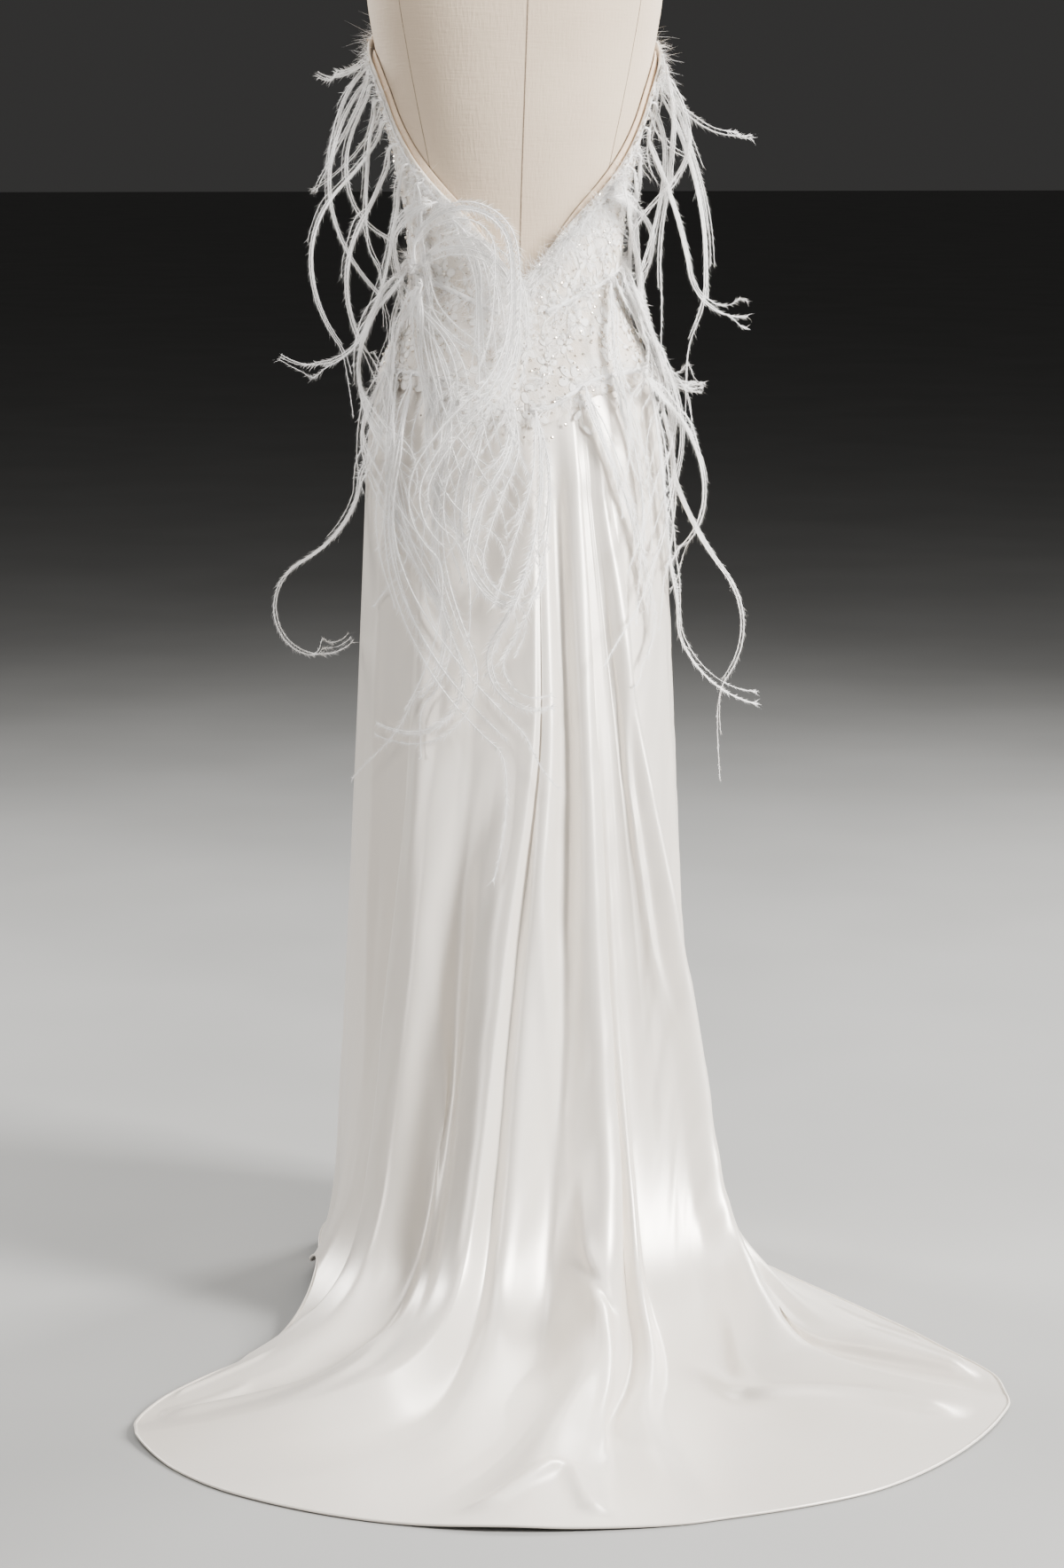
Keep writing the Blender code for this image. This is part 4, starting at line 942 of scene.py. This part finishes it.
def satin_panel(name, node, folds, rows, creases, satin):
    """The skirt panel as one thin sheet on its solid's outer form, with its creases and a rolled hem."""
    columns = fine_columns(folds)
    shares = fine_shares(rows)
    surface = skirt_surface(folds, columns, shares)
    pace = np.linalg.norm(np.gradient(surface, columns, axis=0), axis=-1)
    normal = grid_normals(surface)
    across = np.cumsum(pace * np.gradient(columns)[:, None], axis=0)
    down = np.cumsum(np.linalg.norm(np.gradient(surface, axis=1), axis=-1), axis=1)
    lift = WALL + crease_heights(creases, columns, shares, pace)
    inner = np.minimum(columns - columns[0], columns[-1] - columns)[:, None]
    calm = fade(shares, 0.02, 0.2)[None] * fade(surface[..., 2], 0.0, 0.15) * fade(inner, 0.0, RIPPLE_FREE)
    for ripple in RIPPLES:
        drift = 2 * np.sin(down / ripple.down * 2 * math.pi)
        wave = np.sin(across / ripple.across * 2 * math.pi + ripple.phase + drift)
        lift = lift + ripple.height * wave * calm
    outward = place(np.radians(columns), 1.0, 0 * columns)[:, None]
    seamed = fade(inner, 0.0, SEAM_TURN)[..., None]
    normal = unit(outward * (1 - seamed) + normal * seamed)
    surface = surface + normal * lift[..., None]
    surface[..., 2] = np.maximum(surface[..., 2], FLOOR_CLEAR)
    panel = add_piece(name, surface.reshape(-1, 3), grid_faces(len(columns), len(shares)), satin)
    layer = panel.data.uv_layers.new(name="cloth")
    corner = np.empty(len(panel.data.loops), dtype=np.int32)
    panel.data.loops.foreach_get("vertex_index", corner)
    flat_place = np.stack([across.reshape(-1), down.reshape(-1)], -1)[corner]
    layer.data.foreach_set("uv", flat_place.reshape(-1).astype(np.float32))
    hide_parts(node)
    edge = surface[:, -1].copy()
    edge[:, 2] = np.maximum(edge[:, 2], HEM_RADIUS)
    points, faces = tube(edge, HEM_RADIUS, 6)
    hem = add_piece(name + "_hem", points, faces, satin)


# Lace bodice

def lace_points(degrees, height, out):
    """Points over the lace's outer face, at angles in degrees and heights."""
    angle = np.radians(degrees)
    radius = form_radius(angle, height) + lace_ease(angle, height) + WALL + out
    return place(angle, radius, np.asarray(height, float))


LACE_FINE_ROWS = 48
LACE_COLUMN_STEP = 1.5


def lace_panel(name, node, first, last, finish_used):
    columns = int((last - first) / LACE_COLUMN_STEP) + 1
    degrees = np.linspace(first, last, columns)
    angle = np.radians(degrees)[:, None]
    share = np.linspace(0, 1, LACE_FINE_ROWS)[None, :]
    height = lace_top(angle) + (lace_bottom(angle) - lace_top(angle)) * share
    radius = form_radius(angle + 0 * share, height) + lace_ease(angle + 0 * share, height)
    surface = place(angle + 0 * share, radius, height)
    panel = add_piece(name, surface.reshape(-1, 3), grid_faces(columns, LACE_FINE_ROWS), finish_used)
    thicken(panel, WALL)
    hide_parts(node)
    return panel


MOTIF_SPACING = 0.029
MOTIF_SIZE = (0.010, 0.016)
MOTIF_INSET = (0.008, 0.012)
# Shares of a motif's size: how far out its petals sit, then half lengths and half widths
PETALS = 5
PETAL_OUT = 0.62
PETAL_SIZE = (0.42, 0.27)
LEAF_OUT = 0.4
LEAF_SIZE = (0.40, 0.16)
STEM_STEP = 0.33
BEADS_EACH = 8
SEQUINS_EACH = 7
HEART_BEAD = 0.0019
BEAD_SIZES = (0.0008, 0.0013)
SEQUIN_SIZES = (0.0012, 0.0019)
SEQUIN_TIP = 0.22
# How far off the lace each sits: a petal's middle, a flower's heart bead, the other beads and the sequins
PETAL_CROWN = 0.0016
HEART_OUT = 0.0022
BEAD_OUT = 0.0012
SEQUIN_OUT = 0.0014
CORD = 0.00055
LACE_RADIUS = 0.13
DEGREE_WIDE = 0.0024


def spread_places(chance, spacing, first, last, low, high, tries=4000):
    """Places over the bodice, no two closer than spacing: (degrees, height)."""
    kept = np.empty((0, 2))
    for _ in range(tries):
        degrees = chance.uniform(first, last)
        bottom = float(lace_bottom(np.radians(degrees))) + low
        top = float(lace_top(np.radians(degrees))) - high
        if top <= bottom:
            continue
        height = bottom + (top - bottom) * chance.uniform()
        here = np.array([degrees * DEGREE_WIDE, height])
        if len(kept) == 0 or np.linalg.norm(kept * (DEGREE_WIDE, 1) - here, axis=1).min() > spacing:
            kept = np.concatenate([kept, [[degrees, height]]])
    return kept


def lace_work(chance, cord, bead, sequin):
    """Corded flowers, leaves and stems over the bodice, with beads and sequins in and between them."""
    cords, beads, sequins = Heap(), [], []
    petal_turn = np.linspace(0, 2 * math.pi, 9)[:-1]

    def on_lace(degrees, height, local, out):
        turned = degrees + local[:, 0] / (math.radians(1) * LACE_RADIUS)
        level = np.minimum(height + local[:, 1], lace_top(np.radians(turned)) - CORD)
        return lace_points(turned, level, out)

    def petal(degrees, height, middle, heading, long, wide):
        oval = np.stack([np.cos(petal_turn) * long, np.sin(petal_turn) * wide], -1)
        turn = np.array([[math.cos(heading), math.sin(heading)], [-math.sin(heading), math.cos(heading)]])
        local = middle + oval @ turn
        ring = on_lace(degrees, height, local, CORD)
        points, faces = tube(ring, CORD, 3, closed=True)
        cords.add(points, faces)
        centre = on_lace(degrees, height, middle[None], PETAL_CROWN)
        cords.add(np.concatenate([ring, centre]), [(i, (i + 1) % 8, 8) for i in range(8)])

    for degrees, height in spread_places(chance, MOTIF_SPACING, -180, 180, *MOTIF_INSET):
        size = chance.uniform(*MOTIF_SIZE)
        spin = chance.uniform(0, 2 * math.pi)
        for k in range(PETALS):
            heading = spin + k * 2 * math.pi / PETALS
            middle = size * PETAL_OUT * np.array([math.cos(heading), math.sin(heading)])
            petal(degrees, height, middle, heading, size * PETAL_SIZE[0], size * PETAL_SIZE[1])
        heading = chance.uniform(0, 2 * math.pi)
        bend = chance.uniform(-2.2, 2.2)
        t = np.linspace(0, 1, 8)
        turned = heading + bend * t
        stem = np.cumsum(np.stack([np.cos(turned), np.sin(turned)], -1), axis=0) * size * STEM_STEP
        points, faces = tube(on_lace(degrees, height, stem + stem[0] * 1.5, CORD), CORD, 3)
        cords.add(points, faces)
        for k in (2, 4, 7):
            side = 1 if k % 4 else -1
            at = stem[k] + stem[0] * 1.5
            leaf = turned[k] + side * 0.8
            middle = at + size * LEAF_OUT * np.array([math.cos(leaf), math.sin(leaf)])
            petal(degrees, height, middle, leaf, size * LEAF_SIZE[0], size * LEAF_SIZE[1])
        beads.append((on_lace(degrees, height, np.zeros((1, 2)), HEART_OUT)[0], HEART_BEAD))
        for _ in range(BEADS_EACH):
            local = size * chance.uniform(0.3, 2.2) * unit(chance.normal(size=(1, 2)))
            beads.append((on_lace(degrees, height, local, BEAD_OUT)[0], chance.uniform(*BEAD_SIZES)))
        for _ in range(SEQUINS_EACH):
            local = size * chance.uniform(0.8, 2.4) * unit(chance.normal(size=(1, 2)))
            sequins.append(on_lace(degrees, height, local, SEQUIN_OUT)[0])
    cords.piece("lace_cording", cord, "lace")
    sew_beads(beads, bead)
    sew_sequins(sequins, sequin, chance)


def sew_beads(beads, bead):
    """Round beads as one mesh: each is a place and a radius."""
    ball = bmesh.new()
    bmesh.ops.create_icosphere(ball, subdivisions=1, radius=1.0)
    corners = np.array([vert.co[:] for vert in ball.verts])
    faces = [tuple(vert.index for vert in face.verts) for face in ball.faces]
    ball.free()
    heap = Heap()
    places = np.array([place for place, _ in beads])
    sizes = np.array([size for _, size in beads])
    heap.add_many(places[:, None] + corners[None] * sizes[:, None, None], faces)
    heap.piece("lace_beads", bead, "lace")


def sew_sequins(places, sequin, chance):
    """Small six-sided discs, each tipped a little its own way."""
    places = np.array(places)
    out = unit(places * (1, 1, 0)) + chance.normal(size=places.shape) * SEQUIN_TIP
    out = unit(out)
    side = unit(np.cross(out, (0.0, 0.0, 1.0)))
    up = np.cross(side, out)
    turn = np.arange(6) * math.pi / 3
    size = chance.uniform(*SEQUIN_SIZES, len(places))[:, None, None]
    ring = side[:, None] * np.cos(turn)[None, :, None] + up[:, None] * np.sin(turn)[None, :, None]
    centre = places + out * 0.0004
    points = np.concatenate([places[:, None] + ring * size, centre[:, None]], axis=1)
    heap = Heap()
    heap.add_many(points, [(i, (i + 1) % 6, 6) for i in range(6)])
    heap.piece("lace_sequins", sequin, "lace", smooth=False)


# Fluff: (name, first and last angle, how far below the lace's top edge it reaches, how many tufts)
Fluff = namedtuple("Fluff", "name first last reach tufts")
FLUFFS = (
    Fluff("fluff_edge_left", -60, -3, 0.016, 70),
    Fluff("fluff_edge_right", 2, 62, 0.018, 90),
    Fluff("fluff_panel_right", 6, 70, 0.120, 130),
    Fluff("fluff_panel_left", -70, -30, 0.110, 50),
    Fluff("fluff_panel_middle", -30, 8, 0.110, 70),
    Fluff("fluff_edge_front", 70, 290, 0.014, 120),
)
TUFT_HAIRS = 12
TUFT_LENGTH = (0.010, 0.026)
HAIR_WIDE = 0.00042
ROW_TUFT_STEP = 1.7
# A tuft's hairs: how far they fan out, how far they stand off the lace, and how they curl and droop
TUFT_FAN = 1.1
TUFT_STAND_OFF = (0.25, 0.9)
TUFT_CURL = 0.35
TUFT_DROOP = (0, 0, 0.25)
# Tufts crowd towards the top edge, and scatter a little over and under a row of plumes
FLUFF_INSET = 0.002
FLUFF_CROWDING = 1.3
ROW_SCATTER = (-0.006, 0.007)


def tufts(heap, chance, degrees, height):
    """Tufts of soft short hairs, each spreading from one place on the lace."""
    count = len(degrees)
    roots = lace_points(degrees, height, 0.0004)
    out = unit(roots * (1, 1, 0))
    side = np.cross((0.0, 0.0, 1.0), out)
    up = np.array([0.0, 0.0, 1.0])
    lean = chance.uniform(0, 2 * math.pi, count)
    lean = np.cos(lean)[:, None] * side + np.sin(lean)[:, None] * up
    spin = chance.uniform(-TUFT_FAN, TUFT_FAN, (count, TUFT_HAIRS, 1))
    beside = np.cross(out, lean)
    heading = lean[:, None] * np.cos(spin) + beside[:, None] * np.sin(spin)
    heading = unit(heading + out[:, None] * chance.uniform(*TUFT_STAND_OFF, (count, TUFT_HAIRS, 1)))
    length = chance.uniform(*TUFT_LENGTH, (count * TUFT_HAIRS, 1, 1))
    t = np.linspace(0, 1, 5)[None, :, None]
    curl = chance.normal(size=(count * TUFT_HAIRS, 1, 3)) * TUFT_CURL - TUFT_DROOP
    start = np.repeat(roots, TUFT_HAIRS, axis=0)[:, None]
    head = heading.reshape(-1, 1, 3)
    curves = start + head * length * t + curl * length * t * t
    flat = unit(np.cross(head[:, 0], np.repeat(out, TUFT_HAIRS, axis=0)))
    add_ribbons(heap, curves, flat, HAIR_WIDE)


def fluff(chance, feather):
    """Fluff along the lace's top edge, over its panels and along each row of plumes."""
    heap = Heap()
    for row in FLUFFS:
        degrees = chance.uniform(row.first, row.last, row.tufts)
        below = row.reach * chance.uniform(0, 1, row.tufts) ** FLUFF_CROWDING
        height = lace_top(np.radians(degrees)) - FLUFF_INSET - below
        tufts(heap, chance, degrees, np.maximum(height, lace_bottom(np.radians(degrees)) + 0.01))
    for strip in STRIPS:
        degrees = np.arange(strip.first, strip.last, ROW_TUFT_STEP)
        height = row_height(strip.row, degrees) + chance.uniform(*ROW_SCATTER, len(degrees))
        tufts(heap, chance, degrees, height)
    heap.piece("lace_fluff", feather, "ostrich_plume")


# Ostrich plumes

BARB_SPACING = 0.0013
BARB_WIDE = 0.00062
BARB_LENGTH = ((0, 0.0045), (0.10, 0.0085), (0.45, 0.0100), (0.8, 0.0075), (1.0, 0.0040))
SHAFT_RADIUS = (0.0012, 0.0010, 0.0004)
BARB_START = 0.010
BARB_LEAN = (34, 64)
BARB_ROLL = (-0.5, 0.7)
BARB_VARIETY = (0.5, 1.35)
BARB_FORWARD = 0.16
BARB_DROOP = (0, 0, 0.14)
BARB_CURL = 0.10
# The spray of hairs at a plume's tip
TIP_HAIRS = 6
TIP_FAN = 1.0
TIP_RISE = (-0.2, 0.5)
TIP_LENGTH = (0.004, 0.009)
TIP_SPACING = 0.006
TIP_CURL = 0.35
TIP_DROOP = (0, 0, 0.3)
# Thinner plumes beside each one: how far aside at the tip and out, in metres, and their share of its length
Company = namedtuple("Company", "aside out length")
COMPANIES = (
    Company(0.0060, 0.0012, 1.35),
    Company(-0.0070, -0.0004, 0.72),
    Company(0.0150, 0.0026, 0.60),
    Company(-0.0160, 0.0020, 1.18),
)
FRONT_COMPANIES = 3
COMPANY_SPACING = 0.0018
COMPANY_SWAY = 0.0070
COMPANY_WAVES = (4, 8)
COMPANY_PARTING = 0.18
COMPANY_SHAFT = 0.6
COMPANY_BARBS = 0.8
TRAIL_CURL = 1.3
TRAIL_DOWN = -0.35


def feather_frames(path):
    """Unit directions along a path, away from the body and across it."""
    toward = unit(np.gradient(path, axis=0))
    out = unit(path * (1, 1, 0))
    out = unit(out - toward * (out * toward).sum(-1, keepdims=True))
    return toward, out, np.cross(toward, out)


def resampled(path, spacing, start=0.0):
    lengths = np.concatenate([[0], np.cumsum(np.linalg.norm(np.diff(path, axis=0), axis=1))])
    at = np.arange(start, lengths[-1], spacing)
    return np.stack([np.interp(at, lengths, path[:, axis]) for axis in range(3)], -1), at / lengths[-1]


def grow_barbs(heap, path, chance, full=1.0, spacing=BARB_SPACING):
    """Barbs on both sides of a shaft, angled to its tip and curling, and a spray of them at the tip."""
    points, share = resampled(path, spacing, BARB_START)
    if len(points) < 8:
        return
    toward, out, side = feather_frames(points)
    marks, lengths = zip(*BARB_LENGTH)
    for sense in (-1, 1):
        count = len(points)
        lean = np.radians(chance.uniform(*BARB_LEAN, count))[:, None]
        roll = chance.uniform(*BARB_ROLL, count)[:, None]
        reach = np.interp(share, marks, lengths)[:, None] * chance.uniform(*BARB_VARIETY, (count, 1)) * full
        across = side * sense * np.cos(roll) + out * np.sin(roll)
        head = toward * np.cos(lean) + across * np.sin(lean)
        t = np.linspace(0, 1, 3)[None, :, None]
        bend = toward * BARB_FORWARD - BARB_DROOP + chance.normal(size=(count, 3)) * BARB_CURL
        curves = points[:, None] + (head * reach)[:, None] * t + (bend * reach)[:, None] * t * t
        add_ribbons(heap, curves, unit(np.cross(head, out)), BARB_WIDE)
    spin = chance.uniform(-TIP_FAN, TIP_FAN, (TIP_HAIRS, 1))
    rise = chance.uniform(*TIP_RISE, (TIP_HAIRS, 1))
    head = toward[-1] * np.cos(spin) + side[-1] * np.sin(spin) + out[-1] * rise
    reach = chance.uniform(*TIP_LENGTH, (TIP_HAIRS, 1)) * full
    t = np.linspace(0, 1, 4)[None, :, None]
    start = points[-1] - toward[-1] * chance.uniform(0, TIP_SPACING, (TIP_HAIRS, 1))
    bend = chance.normal(size=(TIP_HAIRS, 3)) * TIP_CURL - TIP_DROOP
    curves = start[:, None] + (head * reach)[:, None] * t + (bend * reach)[:, None] * t * t
    add_ribbons(heap, curves, unit(np.cross(head, out[-1])), BARB_WIDE)


def shaft(heap, path, scale=1.0):
    radius = np.interp(np.linspace(0, 1, len(path)), (0, 0.5, 1), SHAFT_RADIUS) * scale
    points, faces = tube(path, radius, 4)
    heap.add(points, faces)


def trailed(path, body, extra, chance):
    """The path with some more length, which falls and curls and stays off the cloth.

    A plume whose tip doesn't point down keeps its length.
    """
    step = float(np.linalg.norm(path[-1] - path[-2]))
    count = max(int(extra * len(path)), 1)
    heading = unit(path[-1] - path[-4])
    if heading[2] > TRAIL_DOWN:
        return path
    aside = unit(np.cross(path[-1] * (1, 1, 0), (0.0, 0.0, 1.0)))
    curl = chance.uniform(-TRAIL_CURL, TRAIL_CURL)
    added = [path[-1]]
    for k in range(count):
        share = (k + 1) / count
        fall = np.array([0.0, 0.0, -1.0]) + aside * math.sin(curl * 2.2 * share) * 1.2
        heading = unit(heading * 0.8 + fall * 0.2)
        added.append(added[-1] + heading * step)
    added = np.array(added)
    kept_clear(added, body, PLUME_CLEAR)
    return np.concatenate([path, added[1:]])


def tape(heap, strip):
    """The narrow backing tape of a row of plumes."""
    degrees = np.arange(strip.first, strip.last + 0.1, 2.0)
    rings = []
    for rise, out in ((1, 0.0006), (-1, 0.0006), (-1, 0.0018), (1, 0.0018)):
        height = row_height(strip.row, degrees) + rise * STRIP_HIGH / 2
        rings.append(lace_points(degrees, height, out))
    points = np.stack(rings, axis=1)
    count = len(degrees)
    faces = [(k * 4 + i, k * 4 + (i + 1) % 4, k * 4 + 4 + (i + 1) % 4, k * 4 + 4 + i)
             for k in range(count - 1) for i in range(4)]
    faces += [(3, 2, 1, 0), tuple((count - 1) * 4 + i for i in range(4))]
    heap.add(points.reshape(-1, 3), faces)


def plumes(chance, feather):
    """Every strip of plumes: its tape, and each plume's shaft, barbs and thinner companions.

    Feathers may touch, so the named plumes that had no free place among the solids grow here too.
    """
    body = clothed_body()
    laid = all_plumes(body)
    solid = [(entry.name, plume) for entry, plume, _ in laid]
    for strip in STRIPS:
        for plume in PLUMES.get(strip.name, ()):
            if (strip.name, plume) not in solid:
                laid.append((strip, plume, plume_path(strip, plume, body, np.zeros(plume_steps(plume) + 1))))
    for strip in STRIPS:
        heap = Heap()
        tape(heap, strip)
        companies = COMPANIES if strip.view == 0 else COMPANIES[:FRONT_COMPANIES]
        for entry, plume, path in laid:
            if entry is not strip:
                continue
            shaft(heap, path)
            grow_barbs(heap, path, chance)
            for company in companies:
                line = path
                if company.length > 1 and strip.view == 0:
                    line = trailed(path, body, company.length - 1, chance)
                line = line[:max(int(len(path) * company.length), 4)]
                _, out, side = feather_frames(line)
                share = np.linspace(0, 1, len(line))[:, None]
                phase = chance.uniform(0, 6)
                waves = share * chance.uniform(*COMPANY_WAVES)
                sway = (np.sin(waves + phase) - math.sin(phase)) * COMPANY_SWAY * share
                parted = fade(share, 0.0, COMPANY_PARTING)
                aside = (company.aside * (0.35 + 0.65 * share) + sway) * parted
                beside = line + side * aside + out * (company.out + 0.002 * share) * parted
                shaft(heap, beside, COMPANY_SHAFT)
                grow_barbs(heap, beside, chance, COMPANY_BARBS, COMPANY_SPACING)
        piece = heap.piece(strip.name + "_feathers", feather, "ostrich_plume")
        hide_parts(strip.name)


# Dress form, lining and stand

FORM_COLUMNS = 80
FORM_ROWS = 84
FORM_TOP_ROUND = 0.006
SEAM_LOW = 1.0
# Seams of the form's cover: their angles at the top and at SEAM_LOW, and the cord's radius
FormSeam = namedtuple("FormSeam", "upper lower radius")
FORM_SEAMS = (
    FormSeam(6.0, -2.0, 0.0006),
    FormSeam(-66.0, -52.0, 0.0003),
    FormSeam(66.0, 52.0, 0.0003),
    FormSeam(130.0, 142.0, 0.0003),
    FormSeam(180.0, 180.0, 0.0005),
    FormSeam(-130.0, -142.0, 0.0003),
)


def torso(linen, thread):
    """The form's cover, rounder than its solid, with a fine cord sunk in each of its seams."""
    degrees = np.arange(FORM_COLUMNS) * 360 / FORM_COLUMNS
    low, high = FORM_SECTIONS[0].height, FORM_SECTIONS[-1].height
    drop = np.linspace(0, 1, FORM_ROWS)
    height = (low + (high - low) * drop)[None] + 0 * degrees[:, None]
    angle = np.radians(degrees)[:, None] + 0 * height
    radius = form_radius(angle, height)
    top = np.clip((high - height) / FORM_TOP_ROUND, 0, 1)
    radius = radius - FORM_TOP_ROUND * (1 - np.sqrt(1 - (1 - top) ** 2))
    points = place(angle, radius, height).reshape(-1, 3)
    faces = [tuple(face) for face in grid_faces(FORM_COLUMNS, FORM_ROWS, closed=True)[:, ::-1]]
    faces.append(tuple(i * FORM_ROWS for i in range(FORM_COLUMNS)))
    faces.append(tuple((i + 1) * FORM_ROWS - 1 for i in range(FORM_COLUMNS))[::-1])
    body = add_piece("form_cover", points, faces, linen)
    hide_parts("form_torso")
    seams = Heap()
    for seam in FORM_SEAMS:
        z = np.linspace(high - 0.004, SEAM_LOW, 70)
        degrees = np.interp(z, (SEAM_LOW, high), (seam.lower, seam.upper))
        turned = np.radians(degrees)
        points, faces = tube(place(turned, form_radius(turned, z) + 0.0001, z), seam.radius, 4)
        seams.add(points, faces)
    seams.piece("form_seams", thread, "linen")


# Lining strips: how far round each goes, in degrees; its wall, and its reach over and under the lace's edge
LINING_SPANS = (("lining_left", -90, -22), ("lining_right", 24, 90))
LINING_WALL = 0.0010
LINING_RISE = 0.007
LINING_DEPTH = 0.012
LINING_GAP = 0.0008
LINING_COLUMNS = 60
LINING_ROWS = 10
LACE_GAP = 0.0004


def linings(nude):
    """The nude strips that back the lace along the back opening."""
    for name, first, last in LINING_SPANS:
        degrees = np.linspace(first, last, LINING_COLUMNS)
        angle = np.radians(degrees)[:, None]
        ends = np.sin(np.linspace(0, math.pi, LINING_COLUMNS))[:, None] ** 0.5
        share = np.linspace(0, 1, LINING_ROWS)[None]
        height = lace_top(angle) + LINING_RISE * ends - (LINING_DEPTH + LINING_RISE * ends) * share
        turned = angle + 0 * share
        stand_off = lace_ease(turned, height) - LINING_WALL - LACE_GAP
        radius = form_radius(turned, height) + LINING_GAP + (stand_off - LINING_GAP) * share**0.7
        surface = place(turned, radius, height)
        faces = grid_faces(LINING_COLUMNS, LINING_ROWS)
        strip = add_piece(name + "_cloth", surface.reshape(-1, 3), faces, nude)
        thicken(strip, LINING_WALL)
        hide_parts(name)


def stand_look(steel):
    for node in ("stand_base", "stand_pole"):
        thing = bpy.data.objects[node]
        for holder in thing.material_slots:
            holder.material = steel


# Floor, light and camera

CAMERA_TURN = 4.5
CAMERA_AWAY = 3.975
CAMERA_HEIGHT = 1.25
CAMERA_ASIDE = 0.0045517
CAMERA_AIM = 0.534
CAMERA_LENS = 85.0
CAMERA_SENSOR = 36


def camera():
    turn = math.radians(CAMERA_TURN)
    spot = Vector((CAMERA_AWAY * math.sin(turn), CAMERA_AWAY * math.cos(turn), CAMERA_HEIGHT))
    base = Vector((-math.sin(turn), -math.cos(turn), 0))
    right = Vector((-math.cos(turn), math.sin(turn), 0))
    level = base * math.cos(CAMERA_ASIDE) + right * math.sin(CAMERA_ASIDE)
    pitch = math.atan2(CAMERA_HEIGHT - CAMERA_AIM, CAMERA_AWAY)
    ahead = level * math.cos(pitch) - Vector((0, 0, math.sin(pitch)))
    beside = ahead.cross(Vector((0, 0, 1))).normalized()
    up = beside.cross(ahead)
    eye = bpy.data.cameras.new("view")
    eye.sensor_width = CAMERA_SENSOR
    eye.lens = CAMERA_LENS
    view = linked("view", eye)
    view.matrix_world = Matrix.Translation(spot) @ Matrix((beside, up, -ahead)).transposed().to_4x4()
    bpy.context.scene.camera = view


def softbox(name, spot, aim, size, power, colour):
    light = bpy.data.lights.new(name, "AREA")
    light.shape = "RECTANGLE"
    light.size, light.size_y = size
    light.energy = power
    light.color = colour
    lamp = linked(name, light)
    lamp.location = spot
    lamp.rotation_euler = (Vector(aim) - Vector(spot)).to_track_quat("-Z", "Y").to_euler()


MIDDLE = (0, 0.1, 0.75)
Lamp = namedtuple("Lamp", "name spot aim size power colour")
LAMPS = (
    Lamp("key", (-3.1, 1.9, 2.2), MIDDLE, (1.0, 2.2), 345, (1.0, 0.985, 0.96)),
    Lamp("fill", (3.0, 2.2, 1.7), MIDDLE, (1.2, 2.2), 52, (1.0, 0.97, 0.94)),
    Lamp("rim_right", (-2.2, -1.9, 2.4), MIDDLE, (0.8, 1.6), 100, (1.0, 0.99, 0.97)),
    Lamp("rim_left", (2.2, -1.9, 2.2), MIDDLE, (0.8, 1.6), 80, (1.0, 0.99, 0.97)),
    Lamp("top", (0.2, 1.2, 3.3), (0, 0.4, 0), (2.0, 2.0), 40, (1.0, 0.99, 0.98)),
)
FLOOR_REACH = 60
SURROUND = (0.62, 0.61, 0.60, 1)
SURROUND_STRENGTH = 0.08


def studio():
    """A wide grey floor under a dim even surround, with the lamps."""
    paper = Finish("studio_paper", (0.36, 0.36, 0.355), 0.9)
    paper.colour(paper.noise(2.0, 2.0), (0.35, 0.35, 0.345), (0.38, 0.38, 0.375))
    corners = [(x * FLOOR_REACH, y * FLOOR_REACH, 0) for x, y in ((-1, -1), (1, -1), (1, 1), (-1, 1))]
    floor = bpy.data.meshes.new("floor")
    floor.from_pydata(corners, [], [(0, 1, 2, 3)])
    floor.materials.append(paper.material)
    linked("floor", floor)
    world = bpy.data.worlds.new("studio")
    bpy.context.scene.world = world
    world.use_nodes = True
    sky = world.node_tree.nodes["Background"]
    sky.inputs["Color"].default_value = SURROUND
    sky.inputs["Strength"].default_value = SURROUND_STRENGTH
    for lamp in LAMPS:
        softbox(*lamp)
    bpy.context.scene.view_settings.look = "AgX - Medium High Contrast"


def main():
    satin = satin_finish()
    chance = np.random.default_rng(FILL_SEED)
    satin_panel("skirt_back_satin", "skirt_back", BACK_FOLDS, BACK_FINE_ROWS, BACK_CREASES, satin)
    satin_panel("skirt_front_satin", "skirt_front", FRONT_FOLDS, FRONT_FINE_ROWS, FRONT_CREASES, satin)
    lace = lace_finish()
    lace_panel("bodice_back_left_lace", "bodice_back_left", -90, 0, lace)
    lace_panel("bodice_back_right_lace", "bodice_back_right", 0, 90, lace)
    lace_panel("bodice_front_lace", "bodice_front", 90, 270, lace)
    lace_work(chance, cord_finish(), bead_finish(), sequin_finish())
    feather = plume_finish()
    fluff(chance, feather)
    plumes(chance, feather)
    torso(linen_finish(), thread_finish())
    linings(lining_finish())
    stand_look(steel_finish())
    studio()
    camera()


main()
